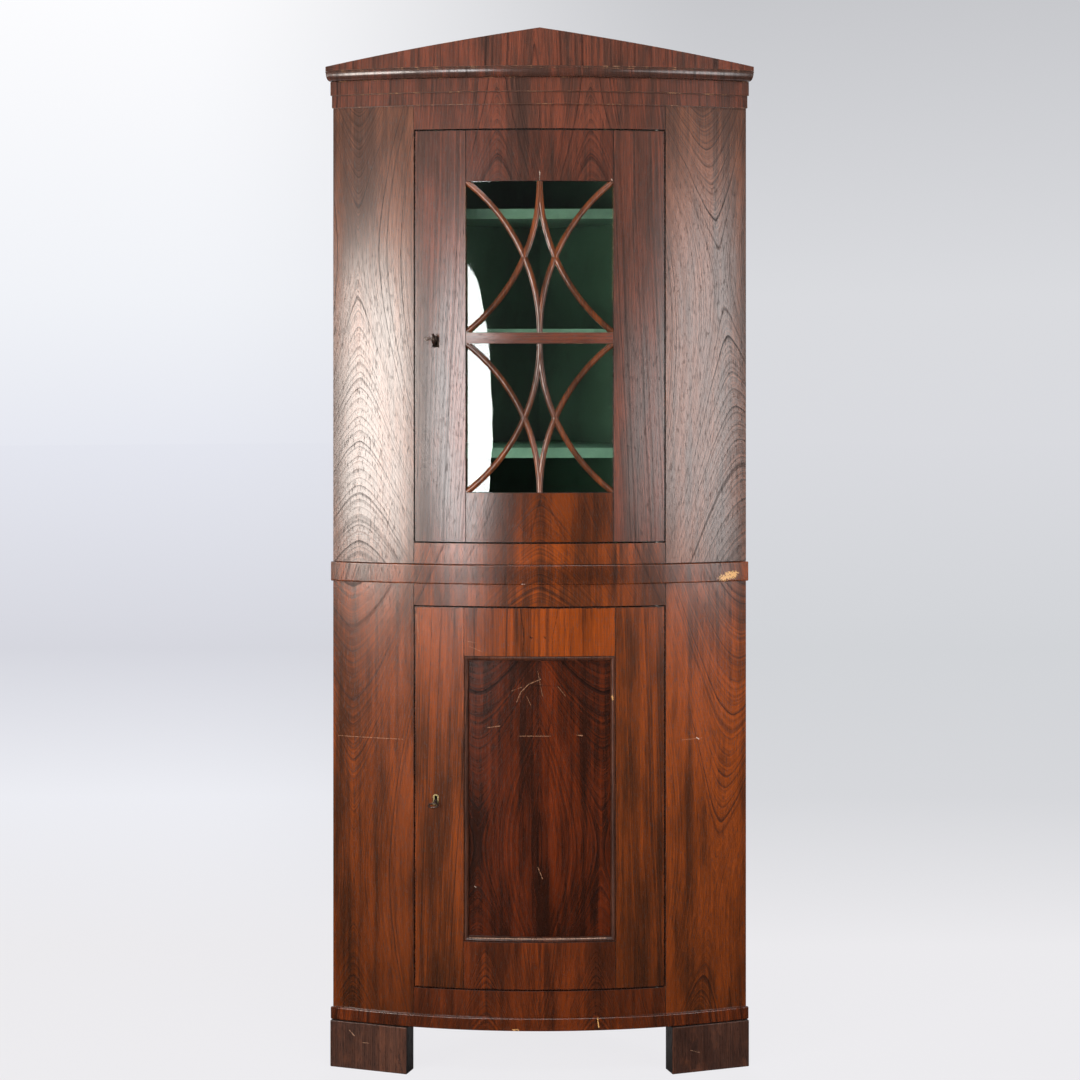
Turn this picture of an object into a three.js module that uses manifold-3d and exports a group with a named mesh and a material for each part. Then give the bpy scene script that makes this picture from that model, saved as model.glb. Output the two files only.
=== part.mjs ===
// Bow-fronted corner cupboard in two sections: a glazed door above a panelled door.
// Millimetres, +Z up, the front faces -Y, the origin is under the middle of the overall box.
import * as THREE from 'three';
import { mergeVertices } from 'three/addons/utils/BufferGeometryUtils.js';
import Module from 'manifold-3d';

const wasm = await Module();
wasm.setup();
const { degToRad } = THREE.MathUtils;

// Plan of the carcass: an arc in front and two walls that meet at a right angle behind
const frontRadius = 1087;
const bodyHalfWidth = 415;
const frameThickness = 24;
const carcassStileShare = 0.4178;
const backBoardThickness = 18;
const glueGap = 0.3;
const overrun = 5;
const facetAngle = degToRad(1.3);
const wallAngle = degToRad(45);

// Heights, from the floor up
const footHeight = 93;
const plinthHeight = 25.4;
const lowerBottomRailHeight = 52.6;
const lowerOpeningHeight = 758.5;
const lowerTopRailHeight = 43.5;
const waistHeight = 39;
const upperBottomRailHeight = 42;
const upperOpeningHeight = 819.5;
const upperTopRailHeight = 48;
const lowerFasciaHeight = 25;
const upperFasciaHeight = 28;
const corniceHeight = 20;
const pedimentEndHeight = 9.5;
const pedimentApexHeight = 76;

// How far each moulding stands in front of the carcass face
const plinthProjection = 6;
const waistProjection = 5.5;
const lowerFasciaProjection = 3.5;
const upperFasciaProjection = 7;
const corniceProjection = 19;
const mouldingEase = 2.2;

// Doors
const doorGap = 2;
const doorThickness = 24;
const upperDoorStileShare = 0.2496;
const rebateWidth = 7;
const upperDoorTopRailHeight = 101.5;
const upperDoorBottomRailHeight = 98.5;
const upperPaneHeight = 299;
const centreRailHeight = 22;
const glazingLip = 12;
const glassThickness = 3;
const lowerDoorStileShare = 0.2405;
const lowerDoorTopRailHeight = 96.5;
const lowerDoorBottomRailHeight = 94;
const panelLip = 10;
const panelThickness = 10;

// Carcass boards
const boardThickness = 20;
const shelfThickness = 20;
const shelfFrontY = 20;
const shelfHousing = 5;
const upperShelfTops = [1238.7, 1478.9, 1721.2];
const lowerShelfTop = 552;
const railDrop = 2;

// Heights worked out from the stack
const plinthTop = footHeight + plinthHeight;
const lowerOpeningBottom = plinthTop + lowerBottomRailHeight;
const lowerOpeningTop = lowerOpeningBottom + lowerOpeningHeight;
const waistBottom = lowerOpeningTop + lowerTopRailHeight;
const waistTop = waistBottom + waistHeight;
const upperOpeningBottom = waistTop + upperBottomRailHeight;
const upperOpeningTop = upperOpeningBottom + upperOpeningHeight;
const fasciaBottom = upperOpeningTop + upperTopRailHeight;
const fasciaMiddle = fasciaBottom + lowerFasciaHeight;
const fasciaTop = fasciaMiddle + upperFasciaHeight;
const corniceTop = fasciaTop + corniceHeight;
const lowerCarcassBottom = footHeight + glueGap;
const upperCarcassBottom = waistTop + glueGap;

// Plan geometry: the arc's centre lies on the middle line, behind the chord between the front corners
const arcCentreY = Math.sqrt(frontRadius ** 2 - bodyHalfWidth ** 2);
const innerRadius = frontRadius - frameThickness;
const arcToAngle = (length) => length / frontRadius;
const planPoint = (radius, angle) => [radius * Math.sin(angle), arcCentreY - radius * Math.cos(angle)];

// The angle at which a circle about the arc's centre meets the room wall at an offset from the wall plane
function wallMeets(radius, offset = 0) {
  const reach = (arcCentreY - bodyHalfWidth + offset) / (radius * Math.SQRT2);
  return wallAngle - Math.asin(reach);
}

// Points along an arc, on one shared set of facet angles, so that parallel arcs keep their gap
function arcPoints(radius, from, to) {
  const low = Math.min(from, to);
  const high = Math.max(from, to);
  const angles = [low];
  for (let k = Math.floor(low / facetAngle) + 1; k * facetAngle < high; k += 1) {
    const angle = k * facetAngle;
    const clearOfEnds = angle - low > facetAngle / 4 && high - angle > facetAngle / 4;
    if (clearOfEnds) angles.push(angle);
  }
  angles.push(high);
  if (from > to) angles.reverse();
  return angles.map((angle) => planPoint(radius, angle));
}

// Solids from plain shapes
function polygonShape(points) {
  return new THREE.Shape(points.map(([x, y]) => new THREE.Vector2(x, y)));
}

function prism(points, bottom, top, holes = []) {
  const shape = polygonShape(points);
  shape.holes = holes.map((hole) => polygonShape(hole));
  const geometry = new THREE.ExtrudeGeometry(shape, { depth: top - bottom, bevelEnabled: false });
  return geometry.translate(0, 0, bottom);
}

function box(low, high) {
  const size = high.map((value, axis) => value - low[axis]);
  const middle = high.map((value, axis) => (value + low[axis]) / 2);
  return new THREE.BoxGeometry(...size).translate(...middle);
}

// A closed tube of sections: each section is a loop of 3-D points, and the end loops are capped
function loft(sections, closed = false) {
  const count = sections[0].length;
  const positions = sections.flat(2);
  const index = [];
  const last = closed ? sections.length : sections.length - 1;
  for (let i = 0; i < last; i += 1) {
    const here = i * count;
    const next = ((i + 1) % sections.length) * count;
    for (let j = 0; j < count; j += 1) {
      const k = (j + 1) % count;
      index.push(here + j, next + j, next + k, here + j, next + k, here + k);
    }
  }
  if (!closed) {
    const cap = capTriangles(sections[0]);
    const end = (sections.length - 1) * count;
    for (const [a, b, c] of cap) {
      index.push(a, b, c);
      index.push(end + a, end + c, end + b);
    }
  }
  const geometry = new THREE.BufferGeometry();
  geometry.setAttribute('position', new THREE.Float32BufferAttribute(positions, 3));
  geometry.setIndex(index);
  return facingOut(geometry);
}

// A section is cut into triangles in its own plane
function capTriangles(section) {
  const points = section.map((point) => new THREE.Vector3(...point));
  const normal = new THREE.Vector3();
  points.forEach((point, i) => {
    const next = points[(i + 1) % points.length];
    normal.add(new THREE.Vector3().crossVectors(point, next));
  });
  normal.normalize();
  const sideways = points[1].clone().sub(points[0]).normalize();
  const upwards = new THREE.Vector3().crossVectors(normal, sideways);
  const flat = points.map((point) => new THREE.Vector2(point.dot(sideways), point.dot(upwards)));
  return THREE.ShapeUtils.triangulateShape(flat, []);
}

// Turns a closed mesh the right way out when its signed volume is negative
function facingOut(geometry) {
  const position = geometry.getAttribute('position');
  const index = geometry.getIndex().array;
  const corner = (i) => new THREE.Vector3().fromBufferAttribute(position, index[i]);
  let volume = 0;
  for (let i = 0; i < index.length; i += 3) {
    volume += corner(i).dot(corner(i + 1).cross(corner(i + 2)));
  }
  if (volume < 0) {
    for (let i = 0; i < index.length; i += 3) {
      [index[i + 1], index[i + 2]] = [index[i + 2], index[i + 1]];
    }
  }
  return geometry;
}

// A section of [radius, z] points carried round the bow, from one angle to another
function bowSolid(section, from, to) {
  const sectionAt = typeof section === 'function' ? section : () => section;
  const startAt = typeof from === 'function' ? from : () => from;
  const endAt = typeof to === 'function' ? to : () => to;
  const span = endAt(frontRadius) - startAt(frontRadius);
  const steps = 2 * Math.ceil(span / facetAngle / 2);
  const sections = [];
  for (let i = 0; i <= steps; i += 1) {
    const share = i / steps;
    const along = ([radius, z]) => {
      const angle = THREE.MathUtils.lerp(startAt(radius), endAt(radius), share);
      return [...planPoint(radius, angle), z];
    };
    sections.push(sectionAt(share).map(along));
  }
  return loft(sections);
}

const fullBow = (section) => bowSolid(section, (radius) => -wallMeets(radius), wallMeets);

// Joining and cutting of closed meshes
function toSolid(geometry) {
  const bare = geometry.clone();
  bare.deleteAttribute('normal');
  bare.deleteAttribute('uv');
  const merged = mergeVertices(bare);
  const vertProperties = new Float32Array(merged.getAttribute('position').array);
  const triVerts = new Uint32Array(merged.getIndex().array);
  return new wasm.Manifold(new wasm.Mesh({ numProp: 3, vertProperties, triVerts }));
}

function fromSolid(solid) {
  const mesh = solid.getMesh();
  const geometry = new THREE.BufferGeometry();
  geometry.setAttribute('position', new THREE.BufferAttribute(mesh.vertProperties, 3));
  geometry.setIndex(new THREE.BufferAttribute(mesh.triVerts, 1));
  return geometry;
}

const cut = (body, ...tools) => fromSolid(tools.reduce((left, tool) => left.subtract(toSolid(tool)), toSolid(body)));
const join = (...pieces) => fromSolid(pieces.map(toSolid).reduce((left, right) => left.add(right)));
const common = (left, right) => fromSolid(toSolid(left).intersect(toSolid(right)));

// Finishes
const finish = (color, roughness, metalness = 0) => ({ color, roughness, metalness });
const finishes = {
  veneer: finish(0x6b3018, 0.45),
  moulding: finish(0x552616, 0.45),
  footWood: finish(0x3d2118, 0.6),
  greenPaint: finish(0x2c4a34, 0.7),
  shelfPaint: finish(0x5d9577, 0.6),
  glass: finish(0xc8d8d4, 0.05),
  iron: finish(0x3a3634, 0.5, 0.8),
  brass: finish(0xb9a468, 0.35, 0.9),
};

const cupboard = new THREE.Group();

function addPiece(name, geometry, finishName, parent = cupboard) {
  const material = new THREE.MeshStandardMaterial(finishes[finishName]);
  if (finishName === 'glass') {
    material.transparent = true;
    material.opacity = 0.35;
  }
  const mesh = new THREE.Mesh(geometry, material);
  mesh.name = name;
  parent.add(mesh);
  return mesh;
}

const mirrored = (points) => points.map(([x, y]) => [-x, y]).reverse();

// A group turned to the bow's face: its X runs along the face to the right, its Y into the wood, its Z up
function faceMatrix(angle, z = 0) {
  const [x, y] = planPoint(frontRadius, angle);
  return new THREE.Matrix4().makeTranslation(x, y, z).multiply(new THREE.Matrix4().makeRotationZ(angle));
}

const atFace = (geometry, angle, z = 0) => geometry.clone().applyMatrix4(faceMatrix(angle, z));

// Angles on the bow that the frames share
const openingAngle = wallMeets(frontRadius) - arcToAngle(carcassStileShare * bodyHalfWidth);
const doorAngle = openingAngle - arcToAngle(doorGap);
const glazingAngle = doorAngle - arcToAngle(upperDoorStileShare * bodyHalfWidth);
const panelAngle = doorAngle - arcToAngle(lowerDoorStileShare * bodyHalfWidth);

// Pivot hinges near the right edge of each door
const pivotFromEdge = 14;
const pivotDepth = 6.5;
const pivotPlateThickness = 2.5;
const pivotPlateWidth = 10;
const pivotPlateTail = 30;
const pivotPlateNose = 10;
const pivotPinRadius = 2.5;
const pivotRunningGap = 0.25;
const pivotCollarRadius = 4;
const pivotPinEnd = 1.5;
const pivotHoleDepth = 7;
const pinSides = 20;
const pivotAngle = doorAngle - arcToAngle(pivotFromEdge);

// The plate lies flush in the rail with its pin pointing along +Z from the rail's face at z = 0
function pivotPlateBox(grow, depth, above) {
  const half = pivotPlateWidth / 2 + grow;
  return box(
    [-pivotPlateTail - grow, pivotDepth - half, -depth],
    [pivotPlateNose + grow, pivotDepth + half, above],
  );
}

function pivotPin() {
  const pinTop = doorGap + pivotPlateThickness + pivotPinEnd;
  const seat = doorGap - glueGap;
  const root = -pivotPlateThickness / 2;
  const profile = [[0, root], [pivotCollarRadius, root], [pivotCollarRadius, seat],
    [pivotPinRadius, seat], [pivotPinRadius, pinTop], [0, pinTop]];
  const turned = new THREE.LatheGeometry(profile.map(([x, y]) => new THREE.Vector2(x, y)), pinSides);
  turned.rotateX(Math.PI / 2).translate(0, pivotDepth, 0);
  return join(pivotPlateBox(0, pivotPlateThickness, 0), turned);
}

function pivotSocket() {
  const half = pivotPlateWidth / 2;
  const holeRadius = pivotPinRadius + pivotRunningGap;
  const circle = new THREE.Path().absarc(0, pivotDepth, holeRadius, 0, 2 * Math.PI);
  const outline = [[-pivotPlateTail, pivotDepth - half], [pivotPlateNose, pivotDepth - half],
    [pivotPlateNose, pivotDepth + half], [-pivotPlateTail, pivotDepth + half]];
  const hole = circle.getPoints(pinSides).slice(0, -1).map((point) => [point.x, point.y]);
  return prism(outline, doorGap, doorGap + pivotPlateThickness, [hole]);
}

// The recess for a plate, cut a little over its size and open at the face that it is let into
function pivotRecess() {
  return pivotPlateBox(glueGap, pivotPlateThickness + glueGap, overrun);
}

function socketRecess() {
  const half = pivotPlateWidth / 2 + glueGap;
  const plate = box(
    [-pivotPlateTail - glueGap, pivotDepth - half, doorGap - overrun],
    [pivotPlateNose + glueGap, pivotDepth + half, doorGap + pivotPlateThickness + glueGap],
  );
  const radius = pivotPinRadius + 2 * glueGap;
  const bore = new THREE.CylinderGeometry(radius, radius, pivotHoleDepth, pinSides);
  bore.rotateX(Math.PI / 2).translate(0, pivotDepth, doorGap + pivotHoleDepth / 2);
  return join(plate, bore);
}

// At a top rail the same pieces hang upside down
function atPivot(geometry, z, upsideDown) {
  const turned = geometry.clone();
  if (upsideDown) {
    turned.scale(1, 1, -1);
    flipWinding(turned);
  }
  return atFace(turned, pivotAngle, z);
}

function flipWinding(geometry) {
  if (!geometry.getIndex()) {
    const count = geometry.getAttribute('position').count;
    geometry.setIndex([...Array(count).keys()]);
  }
  const index = geometry.getIndex().array;
  for (let i = 0; i < index.length; i += 3) {
    [index[i + 1], index[i + 2]] = [index[i + 2], index[i + 1]];
  }
}

// Locks, in the left stile of each door: the key's axis is at the middle of this frame
const keyBackset = 43.3;
const upperKeyHeight = 1458;
const lowerKeyHeight = 550;
const keyShankRadius = 2.2;
const keyBitRadius = 8.5;
const keyBitThickness = 2.4;
const keyBitWidth = 5;
const keyBitDepth = 18;
const keyTailLength = 3.2;
const keyReach = 12;
const keyCollarRadius = 3.6;
const keyCollarFront = 7;
const keyCollarBack = 3;
const bowWidth = 22;
const bowLength = 20;
const bowWire = 3.4;
const bowThickness = 2.8;
const bowSides = 28;
const lowerKeyDroop = degToRad(18);
const keySwing = degToRad(40);
const keyholeRadius = 3.3;
const keyholeThroat = 2.6;
const keyholeFoot = 3.6;
const keyholeLength = 13;
const linerWall = 2.7;
const linerDepth = 4;
const lockEdgeWood = 2.3;
const lockRight = 18;
const lockHalfHeight = 32;
const lockFront = 12.3;
const lockBack = 23.4;
const lockWall = 1.4;
const boltThickness = 4;
const boltHeight = 12;
const boltBottom = 5.8;
const boltTail = 13;
const boltRunningGap = 0.35;
const notchHalfWidth = 2.6;
const notchHeight = 3.4;
const mortiseDepth = 14;
const keyAngle = arcToAngle(keyBackset) - doorAngle;
const lockLeft = keyBackset - lockEdgeWood;
const boltThrow = 2 * keyBitRadius * Math.sin(keySwing);
const boltFrontDepth = keyBitDepth - boltThickness / 2;
const boltTipInset = 0.6;

// The keyhole is round above and widens below, grown all round for the liner
function keyholeOutline(grow) {
  const radius = keyholeRadius + grow;
  const throat = keyholeThroat + grow;
  const start = Math.asin(throat / radius);
  const points = [];
  for (let i = 0; i <= pinSides; i += 1) {
    const angle = THREE.MathUtils.lerp(start - Math.PI / 2, 3 * Math.PI / 2 - start, i / pinSides);
    points.push([radius * Math.cos(angle), radius * Math.sin(angle)]);
  }
  const foot = keyholeFoot + grow;
  points.push([-foot, -keyholeLength - grow], [foot, -keyholeLength - grow]);
  return points;
}

// A prism across the face: outline points are [along, up] and the solid runs into the wood
function acrossFace(points, front, back, holes = []) {
  const deep = prism(points, -back, -front, holes);
  return deep.rotateX(Math.PI / 2);
}

function keyholeCutter() {
  return acrossFace(keyholeOutline(0), -overrun, lockFront + overrun);
}

function linerRecess() {
  return acrossFace(keyholeOutline(linerWall + glueGap), -overrun, linerDepth + glueGap);
}

function keyholeLiner() {
  return acrossFace(keyholeOutline(linerWall), 0, linerDepth, [keyholeOutline(0)]);
}

function lockPocket() {
  return box(
    [-lockLeft - glueGap, lockFront - glueGap, -lockHalfHeight - glueGap],
    [lockRight + glueGap, lockBack + overrun, lockHalfHeight + glueGap],
  );
}

// The bolt's path out of the door's edge and into the cabinet stile
function boltPassage(from, to) {
  return box(
    [from, boltFrontDepth - boltRunningGap, boltBottom - boltRunningGap],
    [to, boltFrontDepth + boltThickness + boltRunningGap, boltBottom + boltHeight + boltRunningGap],
  );
}

function lockCase() {
  const shell = box([-lockLeft, lockFront, -lockHalfHeight], [lockRight, lockBack, lockHalfHeight]);
  const hollow = box(
    [-lockLeft + lockWall, lockFront - overrun, -lockHalfHeight + lockWall],
    [lockRight - lockWall, lockBack - lockWall, lockHalfHeight - lockWall],
  );
  return cut(shell, hollow, boltPassage(-lockLeft - overrun, -lockLeft + overrun));
}

function lockBolt() {
  const bar = box(
    [-lockLeft + boltTipInset, boltFrontDepth, boltBottom],
    [boltTail, boltFrontDepth + boltThickness, boltBottom + boltHeight],
  );
  const middle = keyBitRadius * Math.sin(keySwing);
  const notch = box(
    [middle - notchHalfWidth, boltFrontDepth - overrun, boltBottom - overrun],
    [middle + notchHalfWidth, boltFrontDepth + boltThickness + overrun, boltBottom + notchHeight],
  );
  return cut(bar, notch);
}

// The key is made along its own axis, -Y outwards, with its bit's middle at the origin
function keySolid(bowTurn) {
  const face = -keyBitDepth;
  const neck = face - keyReach;
  const tail = keyTailLength;
  const shankEnd = neck - bowWire / 2;
  const profile = [[0, tail], [keyShankRadius, tail], [keyShankRadius, face - keyCollarBack],
    [keyCollarRadius, face - keyCollarBack], [keyCollarRadius, face - keyCollarFront],
    [keyShankRadius, face - keyCollarFront], [keyShankRadius, shankEnd], [0, shankEnd]];
  const shank = new THREE.LatheGeometry(profile.map(([x, y]) => new THREE.Vector2(x, y)), pinSides);
  facingOut(shank);
  const bit = box([-keyBitThickness / 2, -keyBitWidth / 2, 0], [keyBitThickness / 2, keyBitWidth / 2, keyBitRadius]);
  bit.rotateY(keySwing);
  const ring = (width, length) => {
    const points = [];
    for (let i = 0; i < bowSides; i += 1) {
      const angle = 2 * Math.PI * i / bowSides;
      points.push([width / 2 * Math.cos(angle), length / 2 * Math.sin(angle)]);
    }
    return points;
  };
  const inner = ring(bowWidth - 2 * bowWire, bowLength - 2 * bowWire);
  const bow = prism(ring(bowWidth, bowLength), -bowThickness / 2, bowThickness / 2, [inner]);
  bow.translate(0, neck - bowLength / 2, 0).rotateY(bowTurn);
  return join(shank, bit, bow);
}

// The fixed frame round a door: two stiles, and rails cut to their own height
function railSection(bottom, top) {
  return [[innerRadius, bottom], [frontRadius, bottom], [frontRadius, top], [innerRadius, top]];
}

function openingRail(bottom, top) {
  const end = openingAngle - arcToAngle(glueGap);
  return bowSolid(railSection(bottom, top), -end, end);
}

function addOpeningRail(name, bottom, top, pivotZ, upsideDown) {
  const recess = atPivot(pivotRecess(), pivotZ, upsideDown);
  addPiece(name, cut(openingRail(bottom, top), recess), 'veneer');
}

// The left stile carries the lip that the shut door rests against
const stopThickness = 9;
const stopLap = 6;
const stopWidth = 22;
const stopGap = 0.6;

function stilePlan() {
  const front = arcPoints(frontRadius, openingAngle, wallMeets(frontRadius));
  const back = arcPoints(innerRadius, wallMeets(innerRadius), openingAngle);
  return [...front, ...back];
}

// The lip's root runs a little way into the stile, and its nose laps behind the door
function stopPlan() {
  const stopRadius = innerRadius - stopGap;
  const rootRadius = innerRadius + frameThickness / 4;
  const lipAngle = openingAngle - arcToAngle(stopLap);
  const rootAngle = openingAngle + arcToAngle(stopWidth);
  return [
    ...arcPoints(rootRadius, openingAngle, rootAngle),
    ...arcPoints(stopRadius - stopThickness, rootAngle, lipAngle),
    ...arcPoints(stopRadius, lipAngle, openingAngle),
  ];
}

// Back boards stand in the two wall planes; the right one runs past the left one at the corner
function backBoardPlans() {
  const outer = bodyHalfWidth;
  const inner = outer - backBoardThickness * Math.SQRT2;
  const frontAngle = wallMeets(innerRadius - glueGap);
  const [frontX, frontY] = planPoint(innerRadius - glueGap, frontAngle);
  const innerAngle = wallMeets(innerRadius - glueGap, backBoardThickness * Math.SQRT2);
  const [innerX, innerY] = planPoint(innerRadius - glueGap, innerAngle);
  const lap = backBoardThickness / Math.SQRT2;
  const seam = glueGap / Math.SQRT2;
  const right = [[innerX, innerY], [frontX, frontY], [0, outer], [-lap, outer - lap], [0, inner]];
  const left = [[-innerX, innerY], [-seam, inner - seam], [-lap - seam, outer - lap - seam], [-frontX, frontY]];
  return { left, right };
}

function shelfPlan(reach) {
  const inner = bodyHalfWidth - backBoardThickness * Math.SQRT2 + reach * Math.SQRT2;
  return [[-(inner - shelfFrontY), shelfFrontY], [inner - shelfFrontY, shelfFrontY], [0, inner]];
}

// Floors and ceilings fill the plan inside the front frame and the back boards
function floorBoardPlan() {
  const radius = innerRadius - glueGap;
  const offset = (backBoardThickness + glueGap) * Math.SQRT2;
  const front = arcPoints(radius, -wallMeets(radius, offset), wallMeets(radius, offset));
  return [...front, [0, bodyHalfWidth - offset]];
}

// Shelf housings are cut into both back boards
function housingCutter(top) {
  const grown = shelfPlan(shelfHousing);
  return prism(grown, top - shelfThickness - glueGap, top + glueGap);
}

function addBackBoards(section, bottom, top, shelfTops) {
  const plans = backBoardPlans();
  const housings = shelfTops.map(housingCutter);
  addPiece(`${section}_left_back_board`, cut(prism(plans.left, bottom, top), ...housings), 'greenPaint');
  addPiece(`${section}_right_back_board`, cut(prism(plans.right, bottom, top), ...housings), 'greenPaint');
}

function addShelf(name, top) {
  const plan = shelfPlan(shelfHousing - glueGap);
  addPiece(name, prism(plan, top - shelfThickness, top), 'shelfPaint');
}

// The carcass of one section: its front frame, back boards, floor and ceiling
function addCarcass(section, bottom, top, opening, keyHeight, shelfTops) {
  const mortise = boltPassage(-lockLeft - mortiseDepth - overrun, -lockLeft);
  const stop = prism(mirrored(stopPlan()), opening.bottom, opening.top);
  const leftStile = join(prism(mirrored(stilePlan()), bottom, top), stop);
  addPiece(`${section}_left_stile`, cut(leftStile, atFace(mortise, keyAngle, keyHeight)), 'veneer');
  addPiece(`${section}_right_stile`, prism(stilePlan(), bottom, top), 'veneer');
  addOpeningRail(`${section}_top_rail`, opening.top, top, opening.top, true);
  addOpeningRail(`${section}_bottom_rail`, bottom, opening.bottom, opening.bottom, false);
  addBackBoards(section, bottom, top, shelfTops);
  const board = floorBoardPlan();
  const floorTop = opening.bottom - railDrop;
  addPiece(`${section}_bottom_board`, prism(board, floorTop - boardThickness, floorTop), 'greenPaint');
  addPiece(`${section}_top_board`, prism(board, top - boardThickness, top), 'greenPaint');
}

const lowerOpening = { bottom: lowerOpeningBottom, top: lowerOpeningTop };
const upperOpening = { bottom: upperOpeningBottom, top: upperOpeningTop };
addCarcass('lower', lowerCarcassBottom, waistTop, lowerOpening, lowerKeyHeight, [lowerShelfTop]);
addCarcass('upper', upperCarcassBottom, fasciaTop, upperOpening, upperKeyHeight, upperShelfTops);
addShelf('lower_shelf', lowerShelfTop);
upperShelfTops.forEach((top, i) => addShelf(`upper_shelf_${i + 1}`, top));

// Mouldings applied to the face: a flat band with eased edges
function bandSection(bottom, top, projection) {
  const back = frontRadius + glueGap;
  const face = frontRadius + projection;
  return [[back, bottom], [face - mouldingEase, bottom], [face, bottom + mouldingEase],
    [face, top - mouldingEase], [face - mouldingEase, top], [back, top]];
}

addPiece('plinth_moulding', fullBow(bandSection(footHeight + glueGap, plinthTop, plinthProjection)), 'moulding');
addPiece('waist_moulding', fullBow(bandSection(waistBottom, waistTop, waistProjection)), 'moulding');

// The frieze steps out twice below the cornice
const friezeSection = [
  [frontRadius + glueGap, fasciaBottom],
  [frontRadius + lowerFasciaProjection, fasciaBottom],
  [frontRadius + lowerFasciaProjection, fasciaMiddle],
  [frontRadius + upperFasciaProjection, fasciaMiddle],
  [frontRadius + upperFasciaProjection, fasciaTop],
  [frontRadius + glueGap, fasciaTop],
];
addPiece('frieze', fullBow(friezeSection), 'veneer');

// Cornice: an ovolo that swells up to a thin fillet
const corniceFillet = 3;
const corniceBackDepth = 30;
const corniceInset = 0.8;
const ovoloSteps = 6;

function corniceSection() {
  const bottom = fasciaTop + glueGap;
  const low = frontRadius + upperFasciaProjection + corniceInset;
  const face = frontRadius + corniceProjection;
  const height = corniceTop - corniceFillet - bottom;
  const points = [[frontRadius - corniceBackDepth, bottom]];
  for (let i = 0; i <= ovoloSteps; i += 1) {
    const turn = Math.PI / 2 * i / ovoloSteps;
    points.push([low + (face - corniceInset - low) * Math.sin(turn), bottom + height * (1 - Math.cos(turn))]);
  }
  points.push([face, corniceTop - corniceFillet], [face, corniceTop], [frontRadius - corniceBackDepth, corniceTop]);
  return points;
}

addPiece('cornice_moulding', fullBow(corniceSection()), 'moulding');

// The pediment is a board that follows the bow and rises from both ends to a point
const pedimentThickness = 20;

function pedimentSection(share) {
  const face = frontRadius + corniceProjection;
  const bottom = corniceTop + glueGap;
  const rise = 1 - Math.abs(2 * share - 1);
  const top = corniceTop + THREE.MathUtils.lerp(pedimentEndHeight, pedimentApexHeight, rise);
  return [[face - pedimentThickness, bottom], [face, bottom], [face, top], [face - pedimentThickness, top]];
}

addPiece('pediment', fullBow(pedimentSection), 'veneer');

// Feet: two flat-faced blocks under the front corners and one under the rear corner
const footWidth = 165;
const footThickness = 38;
const footProjection = 9;
const footOverhang = 1.4;
const rearFootSize = 84;
const rearFootInset = 4;

function frontFoot(side) {
  const block = box([-footWidth / 2, -footProjection, 0], [footWidth / 2, footThickness - footProjection, footHeight]);
  return atFace(block, side * (wallMeets(frontRadius) - arcToAngle(footWidth / 2 - footOverhang)));
}

function rearFoot() {
  const half = rearFootSize / Math.SQRT2;
  const back = bodyHalfWidth - rearFootInset;
  return prism([[0, back - 2 * half], [half, back - half], [0, back], [-half, back - half]], 0, footHeight);
}

addPiece('left_front_foot', frontFoot(-1), 'footWood');
addPiece('right_front_foot', frontFoot(1), 'footWood');
addPiece('rear_foot', rearFoot(), 'footWood');

// Door stiles: their inner edge is rebated from behind for the pane or the panel
function doorStilePlan(innerAngle, lip) {
  const backRadius = frontRadius - doorThickness;
  const lipRadius = frontRadius - lip;
  const rebateAngle = innerAngle + arcToAngle(rebateWidth);
  return [
    ...arcPoints(frontRadius, innerAngle, doorAngle),
    ...arcPoints(backRadius, doorAngle, rebateAngle),
    ...arcPoints(lipRadius, rebateAngle, innerAngle),
  ];
}

// Door rails: rebated on the edge or edges that face the pane or the panel
function doorRail(bottom, top, lip, lowRebate, highRebate, endAngle) {
  const back = frontRadius - doorThickness;
  const step = frontRadius - lip;
  const low = bottom + lowRebate;
  const high = top - highRebate;
  const section = [[back, low], [step, low], [step, bottom], [frontRadius, bottom],
    [frontRadius, top], [step, top], [step, high], [back, high]];
  const corners = section.filter(([r, z], i) => {
    const [lastR, lastZ] = section[(i + section.length - 1) % section.length];
    return r !== lastR || z !== lastZ;
  });
  const end = endAngle - arcToAngle(glueGap);
  return bowSolid(corners, -end, end);
}

function addDoorStiles(section, group, innerAngle, lip, opening, keyHeight) {
  const bottom = opening.bottom + doorGap;
  const top = opening.top - doorGap;
  const plan = doorStilePlan(innerAngle, lip);
  const left = cut(
    prism(mirrored(plan), bottom, top),
    atFace(lockPocket(), keyAngle, keyHeight),
    atFace(keyholeCutter(), keyAngle, keyHeight),
    atFace(linerRecess(), keyAngle, keyHeight),
    atFace(boltPassage(-lockLeft - mortiseDepth, -lockLeft), keyAngle, keyHeight),
  );
  const right = cut(
    prism(plan, bottom, top),
    atPivot(socketRecess(), opening.bottom, false),
    atPivot(socketRecess(), opening.top, true),
  );
  addPiece(`${section}_door_left_stile`, left, 'veneer', group);
  addPiece(`${section}_door_right_stile`, right, 'veneer', group);
}

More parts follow.
